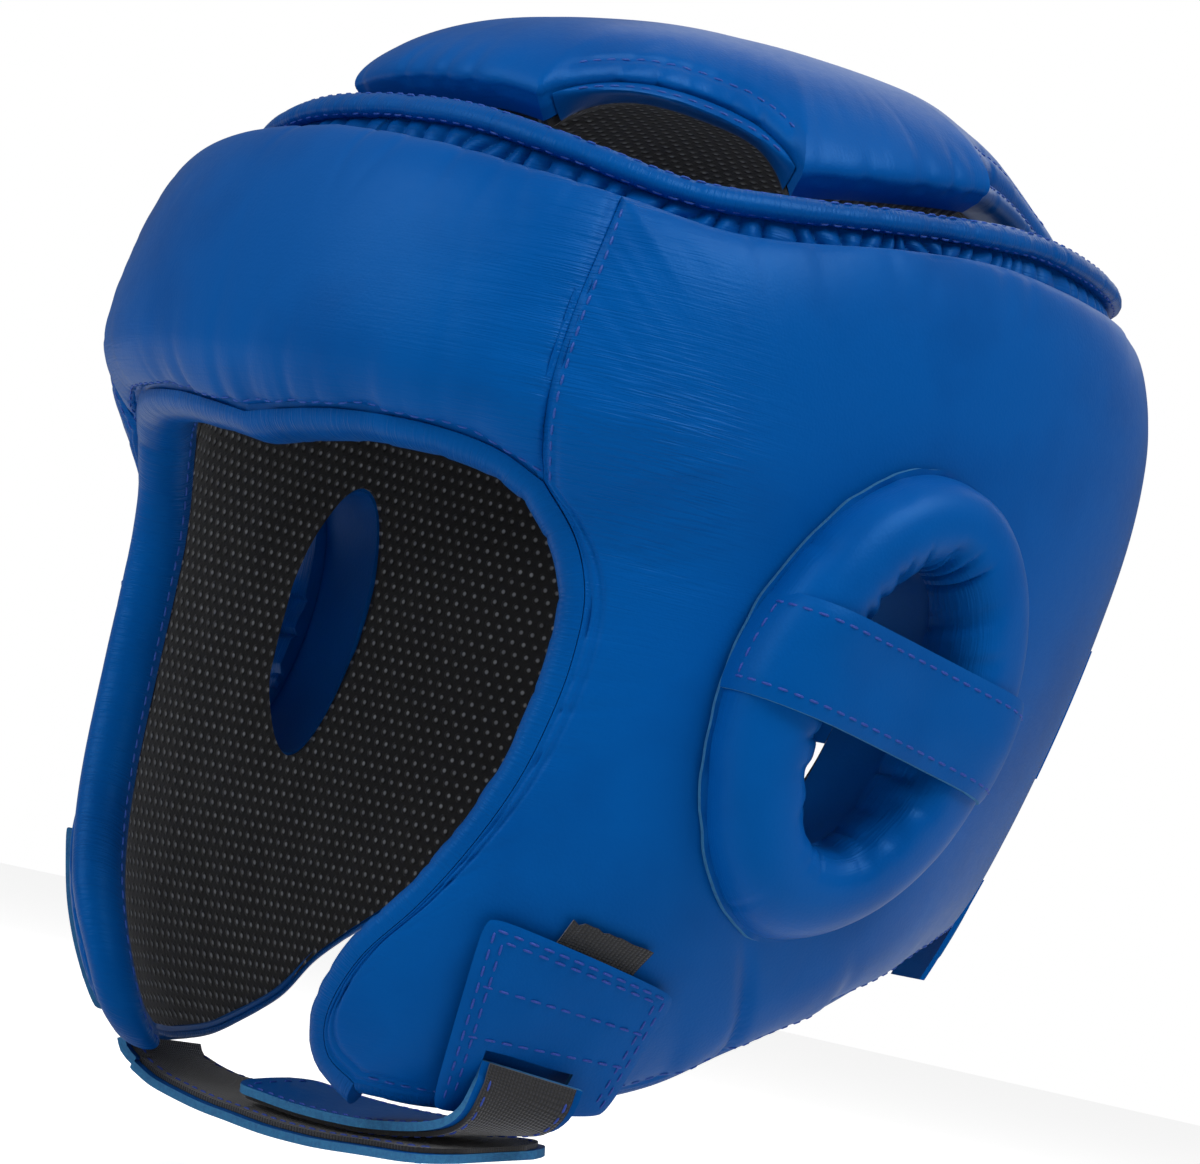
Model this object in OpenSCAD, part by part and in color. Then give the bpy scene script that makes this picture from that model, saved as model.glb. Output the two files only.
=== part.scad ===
// Open-face boxing headgear: a padded leather shell of layered panels (cover, foam, lining),
// a crown pad with four vents, padded ear rings, chin straps and rear closure straps.
// +X is the wearer's left, -Y is the front, +Z is up. The origin is in the head cavity.

/* [Head] */
// Half width of the head cavity
cavity_half_w = 75; // [72:1:80]
// Length of the head cavity in front of the origin
cavity_front = 92; // [88:1:98]
// Length of the head cavity behind the origin
cavity_back = 95; // [90:1:100]

/* [Padding] */
// Thickness of the forehead and temple padding
temple_t = 24; // [22:0.5:26]
// Thickness of the padding round the ears
side_t = 19; // [17:0.5:20]
// Thickness of the padding at the back of the head
rear_t = 18; // [15:0.5:19]
// Thickness of the padding on the front of the cheeks
cheek_t = 12.5; // [12:0.5:14]
// Thickness of the leather cover
cover_t = 1.6; // [1.2:0.1:2]
// Thickness of the mesh lining
lining_t = 2; // [1.5:0.1:2.5]

/* [Face opening] */
// How far the rolled binding of the face opening stands out from the panel edge
face_roll = 5.5; // [4:0.5:7]
// How far the thin welt along the lower and rear edges stands out
welt_roll = 2.2; // [1.5:0.1:3]

/* [Crown] */
// Height of the highest point of the crown pad's inside
crown_in_z = 74; // [72:1:77]
// Thickness of the crown pad in the middle
crown_t = 17; // [14:0.5:19]
// Radius of the rolled crown rim
rim_r = 2.8; // [2.4:0.1:3]
// How far each vent cuts into the crown pad, as a part of the pad's radius
vent_depth = 0.24; // [0.2:0.01:0.3]
// Height that the pad's edge rises over each vent
vent_rise = 17; // [8:1:22]
// Half the angle that a front vent spans at the crown rim
vent_half = 20; // [18:1:24]
// Half the angle that a rear vent spans
rear_vent_half = 28; // [24:1:30]

/* [Ear rings] */
// Half height of the ring's centre line
ear_half_h = 39; // [36:1:40]
// Half width of the ring's centre line
ear_half_w = 22.5; // [21:0.5:23]
// Half width of the padded ring
ear_pad_w = 10; // [9:0.1:10.5]
// How far the padded ring stands out from the side panel
ear_pad_h = 13; // [11:0.5:14]
// Width of the leather strap across the ear opening
ear_strap_w = 22; // [20:1:26]

/* [Straps] */
// Thickness of each leather strap
strap_t = 1.8; // [1.5:0.1:2]
// Thickness of the hook tape and the loop tape
tape_t = 1.1; // [0.9:0.1:1.2]
// Width of the outer chin strap
outer_strap_w = 38; // [32:1:40]
// Width of the inner chin strap
inner_strap_w = 21; // [19:1:22]
// Width of the upper rear strap
rear_upper_w = 28; // [24:1:30]
// Width of the lower rear strap
rear_lower_w = 22; // [18:1:24]

/* [Hidden] */

leather = "#1559b0";
leather_dark = "#0f4791";
black_tape = "#17171a";
foam_grey = "#8d9096";
mesh_black = "#222226";
clear = 0.3;          // gap left between pieces that only lie on each other
arc = 1.6;            // millimetres of padding for one degree round the head

// Head cavity: superellipse sections whose size falls off above and below zc
zc = -10;
lean = 0.09;          // how far the sections move back for each millimetre of height
function fall(z, up, down, p) =
    let(t = min(0.985, abs(z - zc) / (z > zc ? up : down))) pow(1 - pow(t, p), 1 / p);
function cavity_r(a, z) =
    let(w = cavity_half_w * fall(z, 112, 150, 2.5),
        l = cos(a) > 0 ? cavity_front * fall(z, 112, 170, 2.5)
                       : cavity_back * fall(z, 116, 150, 2.3))
    pow(pow(abs(sin(a)) / w, 2.5) + pow(abs(cos(a)) / l, 2.5), -1 / 2.5);
// A point at angle a from the front, height z, and off outside the cavity
function skin(a, z, off) = let(r = cavity_r(a, z) + off) [r * sin(a), lean * z - r * cos(a), z];
function at(p, off) = skin(p[0], p[1], off);

function ease(lo, hi, v) = let(t = min(1, max(0, (v - lo) / (hi - lo)))) t * t * (3 - 2 * t);
function mix(a, b, t) = a + (b - a) * t;
// Thickness of the padding away from its edges
rear_low_t = 10;
side_low_t = 13.5;
function full_t(a, z) =
    let(aa = abs(a), front = mix(temple_t, cheek_t, ease(2, 32, -z)),
        side = mix(side_t, side_low_t, ease(80, 130, -z)),
        rear = mix(rear_t, rear_low_t, ease(-30, 90, -z)))
    mix(mix(front, side, ease(42, 76, aa)), rear, ease(100, 142, aa));

// Catmull-Rom curve through points, n steps for each span, ends included
function cr(p0, p1, p2, p3, t) = 0.5 * (2 * p1 + (p2 - p0) * t
    + (2 * p0 - 5 * p1 + 4 * p2 - p3) * t * t + (3 * p1 - p0 - 3 * p2 + p3) * t * t * t);
function spline(p, n) = let(m = len(p) - 1) [for (i = [0 : m - 1], k = [0 : n - 1])
    cr(i == 0 ? 2 * p[0] - p[1] : p[i - 1], p[i], p[i + 1],
       i == m - 1 ? 2 * p[m] - p[m - 1] : p[i + 2], k / n), p[m]];
// Point of a curve at part t of its list
function along(c, t) = let(f = t * (len(c) - 1), i = min(len(c) - 2, floor(f)))
    mix(c[i], c[i + 1], f - i);
function resample(c, n) = [for (k = [0 : n]) along(c, k / n)];
function flip(c) = [for (p = c) [-p[0], p[1], p[2]]];
function back_to_front(c) = [for (i = [len(c) - 1 : -1 : 0]) c[i]];

// Edges of the left side panel: [angle, height, padding thickness at the edge]
top_edge = resample(spline([[37.7, 39.5, 19], [52.5, 38, 17], [73.5, 44.5, 16], [92, 48.5, 15],
    [109, 49, 14], [128, 48.5, 13], [145, 47, 12], [160, 46, 11]], 4), 12);
rear_edge = resample(spline([[160, 46, 11], [163, 22, 10], [163, -20, 9], [161, -58, 8.5],
    [155, -82, 8.5]], 4), 7);
lower_edge = resample(spline([[155, -82, 8.5], [145, -84, 8.5], [133, -88, 8.5], [119.5, -98, 9],
    [108, -109, 9], [95.5, -119, 9], [83, -129, 9], [61, -137.5, 9.5], [43, -140.5, 10],
    [32, -140.5, 10]], 4), 12);
face_edge = resample(spline([[32, -140.5, 10], [28, -136, 10], [27.5, -128, 10], [31, -116, 11],
    [36.5, -104, 11], [41, -90.5, 11], [44.3, -76, 11], [46, -61, 11], [46.4, -49, 11],
    [45.7, -38, 11], [43, -28, 11], [38, -18.5, 12]], 4), 14);
seam = resample(spline([[38, -18.5, 12], [37.2, -11, 18], [36.8, 0, 22.5], [37, 15, 23],
    [37.5, 28, 22], [37.7, 39.5, 19]], 4), 6);
function open_end(c) = [for (i = [0 : len(c) - 2]) c[i]];
side_loop = concat(open_end(top_edge), open_end(rear_edge), open_end(lower_edge),
    open_end(face_edge), open_end(seam));
// Brow edge from the left seam to the middle: it dips a little at the middle
brow_edge = resample(spline([[38, -18.5, 12], [32, -14, 13], [24, -12, 14], [14, -12, 14],
    [6, -13.5, 14], [0, -15, 14]], 4), 7);
brow_top = resample(spline([[37.7, 39.5, 19], [28, 41.5, 18.5], [14, 44.5, 18], [0, 46, 18]], 4), 7);

// Ear opening and ring: an ellipse that leans back a little, its place in angle and height
ear_a = 84.5;
ear_z = -46.5;
ear_lean = 6;
function ear_at(t, w, h) = let(x = w * cos(t), y = h * sin(t))
    [ear_a + (x * cos(ear_lean) + y * sin(ear_lean)) / arc,
     ear_z - x * sin(ear_lean) + y * cos(ear_lean)];
hole_w = ear_half_w - 8.5;
hole_h = ear_half_h - 8.5;
// Direction of an edge point as seen from the ear, in the leaning ellipse's own angle
function ear_angle(p) = let(x = (p[0] - ear_a) * arc, y = p[1] - ear_z,
    u = x * cos(ear_lean) - y * sin(ear_lean), v = x * sin(ear_lean) + y * cos(ear_lean))
    atan2(v / hole_h, u / hole_w);

// Rows of the side panel, from the ear opening (0) out to the edge (1)
side_rows = [0, 0.2, 0.45, 0.72, 0.9, 1];
// The padding rounds down to its thickness at the edge over the last quarter
function edge_round(r) = r < 0.7 ? 1 : pow(max(0, 1 - pow((r - 0.7) / 0.3, 2.2)), 1 / 2.2);
function side_point(p, r) = let(e = ear_at(ear_angle(p), hole_w, hole_h),
    a = mix(e[0], p[0], r), z = mix(e[1], p[1], r))
    [a, z, mix(p[2], full_t(a, z), edge_round(r))];
side_grid = [for (r = side_rows) [for (p = side_loop) side_point(p, r)]];

// Rows of the forehead panel, from the brow (0) to its top edge (1)
brow_rows = [0, 0.08, 0.22, 0.5, 0.78, 0.92, 1];   // one for each point of the seam
function brow_full(r) = pow(max(0, 1 - pow(abs(2 * r - 1), 3)), 1 / 2.4);
function mirror_row(row) = concat(flip(row), [for (i = [len(row) - 2 : -1 : 0]) row[i]]);
function brow_point(lo, hi, r) = let(a = mix(lo[0], hi[0], r), z = mix(lo[1], hi[1], r))
    [a, z, mix(mix(lo[2], hi[2], r), full_t(a, z) + 1, brow_full(r))];
// The outermost column is the seam itself, so both panels meet there
brow_half = [for (k = [0 : len(brow_rows) - 1]) [for (i = [0 : len(brow_edge) - 1])
    i == 0 ? seam[k] : brow_point(brow_edge[i], brow_top[i], brow_rows[k])]];
brow_grid = [for (row = brow_half) mirror_row(row)];

// Solid between two layers of a grid of [angle, height, thickness]
// lo and hi give each layer: [part of the thickness, millimetres added]
function layer(p, f) = p[2] * f[0] + f[1];
inner_face = [0, 0];
lining_face = [0, lining_t];
foam_face = [1, -cover_t];
outer_face = [1, 0];

// Closed solid from two equal grids of points; closed grids join their last column to the first
module grid_solid(bottom, top, closed) {
    rows = len(bottom);
    cols = len(bottom[0]);
    n = rows * cols;
    last = closed ? cols - 1 : cols - 2;
    function id(g, i, j) = g * n + i * cols + (j % cols);
    faces_top = [for (i = [0 : rows - 2], j = [0 : last], k = [0, 1]) k == 0
        ? [id(1, i, j), id(1, i + 1, j), id(1, i, j + 1)]
        : [id(1, i, j + 1), id(1, i + 1, j), id(1, i + 1, j + 1)]];
    faces_bottom = [for (i = [0 : rows - 2], j = [0 : last], k = [0, 1]) k == 0
        ? [id(0, i, j), id(0, i, j + 1), id(0, i + 1, j)]
        : [id(0, i, j + 1), id(0, i + 1, j + 1), id(0, i + 1, j)]];
    wall_first = [for (j = [0 : last], k = [0, 1]) k == 0
        ? [id(0, 0, j), id(1, 0, j), id(1, 0, j + 1)]
        : [id(0, 0, j), id(1, 0, j + 1), id(0, 0, j + 1)]];
    wall_last = [for (j = [0 : last], k = [0, 1]) k == 0
        ? [id(0, rows - 1, j), id(1, rows - 1, j + 1), id(1, rows - 1, j)]
        : [id(0, rows - 1, j), id(0, rows - 1, j + 1), id(1, rows - 1, j + 1)]];
    ends = closed ? [] : [for (i = [0 : rows - 2], k = [0 : 3])
        k == 0 ? [id(0, i, 0), id(1, i + 1, 0), id(1, i, 0)]
        : k == 1 ? [id(0, i, 0), id(0, i + 1, 0), id(1, i + 1, 0)]
        : k == 2 ? [id(0, i, cols - 1), id(1, i, cols - 1), id(1, i + 1, cols - 1)]
        : [id(0, i, cols - 1), id(1, i + 1, cols - 1), id(0, i + 1, cols - 1)]];
    points = concat([for (r = bottom) each r], [for (r = top) each r]);
    polyhedron(points, concat(faces_top, faces_bottom, wall_first, wall_last, ends));
}

// Closed solid swept from a list of equal cross sections
module sweep(sections, closed) {
    n = len(sections);
    m = len(sections[0]);
    points = [for (s = sections) each s];
    sides = [for (i = [0 : n - (closed ? 1 : 2)], j = [0 : m - 1], k = [0, 1])
        let(a = i * m + j, b = i * m + (j + 1) % m,
            c = ((i + 1) % n) * m + j, d = ((i + 1) % n) * m + (j + 1) % m)
        k == 0 ? [a, c, b] : [b, c, d]];
    caps = closed ? [] : [[for (j = [0 : m - 1]) j], [for (j = [m - 1 : -1 : 0]) (n - 1) * m + j]];
    polyhedron(points, concat(sides, caps));
}

module mirrored(side) {
    mirror([side < 0 ? 1 : 0, 0, 0]) children();
}

module panel(grid, low, high, closed) {
    grid_solid([for (row = grid) [for (p = row) at(p, layer(p, low))]],
        [for (row = grid) [for (p = row) at(p, layer(p, high))]], closed);
}

// ---- forehead and side panels ----
module forehead_cover() { color(leather) panel(brow_grid, foam_face, outer_face, false); }
module forehead_foam() { color(foam_grey) panel(brow_grid, lining_face, foam_face, false); }
module forehead_lining() { color(mesh_black) panel(brow_grid, inner_face, lining_face, false); }
module side_cover(side) {
    color(leather) mirrored(side) panel(side_grid, foam_face, outer_face, true);
}
module side_foam(side) {
    color(foam_grey) mirrored(side) panel(side_grid, lining_face, foam_face, true);
}
module side_lining(side) {
    color(mesh_black) mirrored(side) panel(side_grid, inner_face, lining_face, true);
}

// ---- rolled edges ----
// Unit normal of an edge curve at point i, to the right of its direction, in millimetres
function edge_dir(c, i) = let(a = c[max(0, i - 1)], b = c[min(len(c) - 1, i + 1)],
    x = (b[0] - a[0]) * arc, y = b[1] - a[1], l = norm([x, y])) [y / l, -x / l];
function beside(p, d, w) = [p[0] + d[0] * w / arc, p[1] + d[1] * w];
// Cross section whose flat side runs along the panel's edge and whose round side stands out by w
function roll_section(c, i, w) = let(d = edge_dir(c, i), e = c[i][2], f = beside(c[i], d, sign(w) * 0.2),
    m = beside(c[i], d, w), s = beside(c[i], d, w * 0.8))
    [skin(f[0], f[1], 0.2), skin(f[0], f[1], e - 0.2),
     skin(s[0], s[1], e - 0.6), skin(m[0], m[1], e * 0.7),
     skin(m[0], m[1], e * 0.3), skin(s[0], s[1], 0.8)];
module face_binding() {
    path = concat(open_end(face_edge), brow_edge,
        flip(back_to_front(open_end(brow_edge))), flip(back_to_front(open_end(face_edge))));
    color(leather_dark) sweep([for (i = [0 : len(path) - 1]) roll_section(path, i, -face_roll)], false);
}
module lower_welt(side) {
    path = concat(open_end(rear_edge), lower_edge);
    color(leather_dark) mirrored(side)
        sweep([for (i = [0 : len(path) - 1]) roll_section(path, i, -welt_roll)], false);
}

// ---- crown ----
// Height of the crown rim round the head, for the left half
rim_curve = resample(spline([[0, 53.5], [14, 52.5], [27.5, 49], [43, 45], [56, 46.5], [76, 51.5],
    [98, 56], [112, 57.5], [130, 57], [156, 56], [180, 55.5]], 4), 36);
// Height of the panels' top edge, closed across the gap at the back
top_curve = resample(spline([[0, 46], [14, 44.5], [28, 41.5], [37.7, 39.5], [52.5, 38], [73.5, 44.5],
    [92, 48.5], [109, 49], [128, 48.5], [145, 47], [160, 46], [180, 46]], 4), 36);
// Height of a curve at angle a, from points sorted by angle
function height_at(c, a) = let(b = a > 180 ? 360 - a : a)
    lookup(b, [for (p = c) [p[0], p[1]]]);
function rim_z(a) = height_at(rim_curve, a);
rim_off = 9;
rim_n = 60;
module crown_rim_binding() {
    color(leather_dark) sweep([for (i = [0 : rim_n - 1]) let(a = i * 360 / rim_n)
        [for (k = [0 : 7]) skin(a, rim_z(a) + rim_r * sin(-45 * k),
            rim_off + 1.3 * rim_r * cos(-45 * k))]], true);
}

// Gathered band between the panels and the rim: shallow folds round the head
gather_n = 96;
module crown_gather() {
    sections = [for (i = [0 : gather_n - 1]) let(a = i * 360 / gather_n,
        out = i % 2 == 0 ? 9.4 : 8.2, low = height_at(top_curve, a) + 2 * clear,
        high = rim_z(a) - rim_r - clear)
        [skin(a, low, out), skin(a, low, 3.5), skin(a, high, 3.5), skin(a, high, out)]];
    color(leather) sweep(sections, true);
}

// Flat leather ring that joins the rim to the pad; it is narrower at the vents
module crown_rim_flange() {
    outer = rim_off - 1.3 * rim_r - clear;
    color(leather) sweep([for (i = [0 : rim_n - 1]) let(a = i * 360 / rim_n,
        inner = mix(pad_off + 1, outer - 2.5, ease(0, 0.1, vent_cut(a))), z = rim_z(a) + 0.4)
        [skin(a, z, outer), skin(a, z, inner), skin(a, z + 1.8, inner), skin(a, z + 1.8, outer)]],
        true);
}

// Crown pad: a dome inside the rim, cut in by four vents
pad_n = 72;
pad_off = -7;
pad_edge_t = 8;
// Each vent: [angle of its middle, half the angle it spans, half the angle of its rolled edge]
vents = [[40, vent_half, 15], [130, rear_vent_half, 20], [230, rear_vent_half, 20], [320, vent_half, 15]];
function pad_base(a) = rim_z(a) + rim_r + clear;
function pad_r(a) = cavity_r(a, 52) + pad_off;
// 1 in the middle of a vent, 0 between the vents
function vent_open(a) = max([for (v = vents) let(u = (a - v[0]) / v[1]) pow(max(0, 1 - u * u), 0.8)]);
function vent_cut(a) = vent_depth * vent_open(a);
// The edge rises over the front vents, its underside more than its top
function pad_rise(a, s, h) = cos(a) > 0 ? vent_rise * vent_open(a) * pow(s, 4) * max(0, 1 - h / 14) : 0;
function pad_point(a, s, h) = let(up = sqrt(1 - 0.64 * pow(s, 2.8)), out = 0.8 * pow(s, 1.4),
    r = s * pad_r(a) + out * h)
    [r * sin(a), lean * 52 - r * cos(a),
     pad_base(a) + (crown_in_z - pad_base(a)) * (1 - pow(s, 2.1)) + pad_rise(a, s, h) + up * h];
// Thickness at part r of the way from the middle to the pad's edge
function pad_t(r) = mix(pad_edge_t, crown_t, r < 0.6 ? 1 : pow(1 - pow((r - 0.6) / 0.4, 2.2), 1 / 2.2));
pad_rows = [0.22, 0.45, 0.68, 0.88, 1];
function pad_layer(r, f) = pad_t(r) * f[0] + f[1];
// Closed dome between two layers, with one middle point on each side
module pad_solid(low, high) {
    rows = len(pad_rows);
    n = rows * pad_n;
    function id(g, i, j) = g * n + i * pad_n + (j % pad_n);
    points = concat([for (f = [low, high], r = pad_rows, j = [0 : pad_n - 1])
        let(a = j * 360 / pad_n) pad_point(a, r * (1 - vent_cut(a)), pad_layer(r, f))],
        [for (f = [low, high]) pad_point(0, 0, pad_layer(0, f))]);
    fans = [for (j = [0 : pad_n - 1], g = [0, 1])
        g == 1 ? [2 * n + 1, id(1, 0, j + 1), id(1, 0, j)] : [2 * n, id(0, 0, j), id(0, 0, j + 1)]];
    skins = [for (i = [0 : rows - 2], j = [0 : pad_n - 1], k = [0 : 3])
        k == 0 ? [id(1, i, j), id(1, i, j + 1), id(1, i + 1, j)]
        : k == 1 ? [id(1, i, j + 1), id(1, i + 1, j + 1), id(1, i + 1, j)]
        : k == 2 ? [id(0, i, j), id(0, i + 1, j), id(0, i, j + 1)]
        : [id(0, i, j + 1), id(0, i + 1, j), id(0, i + 1, j + 1)]];
    walls = [for (j = [0 : pad_n - 1], k = [0, 1]) k == 0
        ? [id(0, rows - 1, j), id(1, rows - 1, j), id(1, rows - 1, j + 1)]
        : [id(0, rows - 1, j), id(1, rows - 1, j + 1), id(0, rows - 1, j + 1)]];
    polyhedron(points, concat(fans, skins, walls));
}
module crown_pad_cover() { color(leather) pad_solid(foam_face, outer_face); }
module crown_pad_foam() { color(foam_grey) pad_solid(lining_face, foam_face); }
module crown_pad_lining() { color(mesh_black) pad_solid(inner_face, lining_face); }

// Rolled edge of each vent, along the pad, with its sections at the pad's own columns
vent_roll = 5;
vent_step = 360 / pad_n;
function vent_section(a) = let(s = 1 - vent_cut(a) + clear / pad_r(a), w = vent_roll / pad_r(a))
    [pad_point(a, s, 0.4), pad_point(a, s, pad_edge_t - 0.4),
     pad_point(a, s + 0.8 * w, pad_edge_t - 1.2), pad_point(a, s + w, pad_edge_t / 2),
     pad_point(a, s + 0.8 * w, 1.2)];
module crown_vent_bindings() {
    color(leather_dark) for (v = vents)
        sweep([for (a = [v[0] - v[2] : vent_step : v[0] + v[2]]) vent_section(a)], false);
}

// ---- ear rings ----
ring_n = 32;
ring_steps = 6;
ring_gap = 0.7;       // the curved ring's base stays clear of the flatter faces of the panel
// Point of the ring's cross section: t round the ear, d outwards, h above the side panel
function ring_point(t, d, h) = let(p = ear_at(t, ear_half_w + d, ear_half_h + d))
    skin(p[0], p[1], full_t(p[0], p[1]) + ring_gap + h);
function ring_arc(t, w, h) = [for (k = [0 : ring_steps]) let(q = 180 * k / ring_steps)
    ring_point(t, w * cos(q), h * sin(q))];
module ear_ring_cover(side) {
    color(leather) mirrored(side) sweep([for (i = [0 : ring_n - 1]) let(t = i * 360 / ring_n)
        concat(ring_arc(t, ear_pad_w, ear_pad_h),
            back_to_front(ring_arc(t, ear_pad_w - cover_t, ear_pad_h - cover_t)))], true);
}
module ear_ring_foam(side) {
    color(foam_grey) mirrored(side) sweep([for (i = [0 : ring_n - 1])
        ring_arc(i * 360 / ring_n, ear_pad_w - cover_t - clear, ear_pad_h - cover_t - clear)], true);
}
// Leather strap over the ring: [distance from the ear's middle, height above the panel]
ear_over = ear_half_w + ear_pad_w;
ear_strap_path = [[-ear_over - 0.8, 1.5], [-ear_over + 0.6, 6.6], [-ear_over + 3.6, 11.4],
    [-ear_half_w, ear_pad_h + 1], [-9, ear_pad_h + 0.4], [9, ear_pad_h + 0.4],
    [ear_half_w, ear_pad_h + 1], [ear_over - 3.6, 11.4], [ear_over - 0.6, 6.6],
    [ear_over + 0.8, 1.5]];
ear_strap_t = 1.8;
ear_strap_slope = 0.17;
function ear_strap_point(p, v, h) = let(z = ear_z + 2 - ear_strap_slope * p[0] + v,
    a = ear_a + p[0] / arc) skin(a, z, full_t(a, z) + ring_gap + p[1] + h);
module ear_strap(side) {
    c = ear_strap_path;
    w = ear_strap_w / 2;
    color(leather) mirrored(side) sweep([for (p = c)
        let(end = abs(p[0]) > ear_over ? ear_strap_t * sign(p[0]) : 0, q = [p[0] + end, p[1]],
            h = end == 0 ? ear_strap_t : 0)
        [ear_strap_point(p, -w, 0), ear_strap_point(p, w, 0),
         ear_strap_point(q, w, h), ear_strap_point(q, -w, h)]], false);
}

// ---- cheek patches ----
left_lift = 2.5;
right_lift = 0.7;
patch_t = 2;
// Corners: upper front, upper rear, lower rear, lower front; the right patch ends higher,
// where the outer chin strap leaves it
left_corners = [[45, -102.5], [73.5, -110.5], [73, -137], [44.5, -142.5]];
right_corners = [[41, -102.5], [71, -110.5], [70.5, -136], [38.5, -139.5]];
function patch_point(c, u, v, h) = let(p = mix(mix(c[0], c[1], u), mix(c[3], c[2], u), v))
    skin(p[0], p[1], full_t(p[0], p[1]) + h);
patch_cols = [0, 0.15, 0.3, 0.45, 0.6, 0.75, 0.88, 1];
patch_row_list = [0, 0.2, 0.4, 0.6, 0.8, 1];
module patch_slab(c, lift) {
    grid_solid([for (v = patch_row_list) [for (u = patch_cols) patch_point(c, u, v, lift)]],
        [for (v = patch_row_list) [for (u = patch_cols) patch_point(c, u, v, lift + patch_t)]], false);
}
module right_cheek_patch() { color(leather) mirrored(-1) patch_slab(right_corners, right_lift); }
slot_a = 57.2;
slot_z = -131;
slot_h = 5;
module slot_cut() {
    p = skin(slot_a, slot_z, side_low_t + left_lift);
    translate(p) rotate([0, 0, slot_a]) cube([inner_strap_w + 1.5, 24, slot_h], center = true);
}
module left_cheek_patch() {
    color(leather) difference() {
        patch_slab(left_corners, left_lift);
        slot_cut();
    }
}
// Fixed end of the inner chin strap, sewn down behind the patch
tail_path = [[57.5, -127.5], [58, -120], [59, -113], [60.5, -106], [61.5, -101.5]];
module left_strap_tail() {
    w = inner_strap_w / 2 - 1;
    t = 1.2;
    color(black_tape) sweep([for (p = tail_path) let(l = full_t(p[0], p[1]) + 2 * clear)
        [for (q = [[-w, l], [w, l], [w, l + t], [-w, l + t]])
            skin(p[0] + q[0] / arc, p[1] - 0.12 * q[0], q[1])]], false);
}

// ---- straps ----
function unit(v) = v / norm(v);
// Ribbon through points, each with its width direction; lo and hi are its two faces
module ribbon(points, across, width, lo, hi) {
    n = len(points) - 1;
    frames = [for (i = [0 : n]) let(t = points[min(n, i + 1)] - points[max(0, i - 1)],
        a = unit(across[i] - t * (t * across[i]) / (t * t))) [points[i], a, unit(cross(t, a))]];
    function face(h) = [for (w = [-width / 2, 0, width / 2]) [for (f = frames) f[0] + f[1] * w + f[2] * h]];
    grid_solid(face(lo), face(hi), false);
}
strap_steps = 24;
tape_gap = 0.15;      // left between a strap and its tape, as both are bent and twisted
function vec_spline(p) = resample(spline(p, 6), strap_steps);
// Outer chin strap: from the right cheek patch, under the chin, to the left
outer_path = vec_spline([[-50.5, -50, -143.2], [-48.9, -49.3, -145.7], [-43.3, -47.2, -147.9],
    [-31, -46.2, -149.3], [-8, -48.4, -150.8], [22, -51, -151], [58, -51.2, -148.2]]);
outer_across = vec_spline([[0.42, -0.907, 0], [0.41, -0.91, 0], [0.33, -0.94, -0.02],
    [0.12, -0.98, -0.06], [-0.02, -0.985, -0.11], [0, -0.985, -0.15], [0, -0.985, -0.17]]);
// Inner chin strap: from the slot in the left cheek patch, under the chin, to the right
inner_path = vec_spline([[66.8, -54.6, -131.5], [65.6, -54.6, -136.5], [60.5, -54.6, -142],
    [50, -54.7, -145], [30, -54.7, -147.6], [12, -54.7, -148], [-9, -54.7, -147]]);
inner_across = vec_spline([[0.54, 0.84, 0], [0.5, 0.87, 0.05], [0.3, 0.95, 0.1],
    [0.1, 0.98, 0.15], [0, 0.98, 0.17], [0, 0.98, 0.17], [0, 0.98, 0.17]]);
module chin_strap_outer() {
    color(leather) ribbon(outer_path, outer_across, outer_strap_w, 0, strap_t);
}
module chin_strap_outer_hook() {
    color(black_tape) ribbon(outer_path, outer_across, outer_strap_w - 4, -tape_t, -tape_gap);
}
module chin_strap_inner() {
    color(leather) ribbon(inner_path, inner_across, inner_strap_w, -strap_t, 0);
}
module chin_strap_inner_loop() {
    color(black_tape) ribbon(inner_path, inner_across, inner_strap_w - 3, tape_gap, tape_t);
}

// Rear straps: from the right panel, across the gap, to a loop patch on the left panel
rear_from = 208;
rear_to = 156;
rear_upper_z = -33;
rear_lower_z = -84;
rear_steps = 16;
loop_lift = 0.7;
rear_lift = loop_lift + tape_t + clear + tape_t;
function rear_body_t(a, z) = full_t(a > 180 ? 360 - a : a, z);
// Band that follows the back of the shell between two angles, with its faces at lo and hi
module rear_band(z, width, from, to, lo, hi) {
    rows = [z - width / 2, z, z + width / 2];
    cols = [for (i = [0 : rear_steps]) mix(to, from, i / rear_steps)];
    grid_solid([for (v = rows) [for (a = cols) skin(a, v, rear_body_t(a, v) + lo)]],
        [for (v = rows) [for (a = cols) skin(a, v, rear_body_t(a, v) + hi)]], false);
}
module rear_strap(z, width) {
    color(leather) rear_band(z, width, rear_from, rear_to, rear_lift, rear_lift + strap_t);
}
module rear_strap_hook(z, width) {
    color(black_tape) rear_band(z, width - 3, rear_from, rear_to, rear_lift - tape_t,
        rear_lift - tape_gap);
}
module rear_loop_patch(z, width) {
    color(black_tape) rear_band(z, width + 2, 161, 150, loop_lift, loop_lift + tape_t);
}

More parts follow.
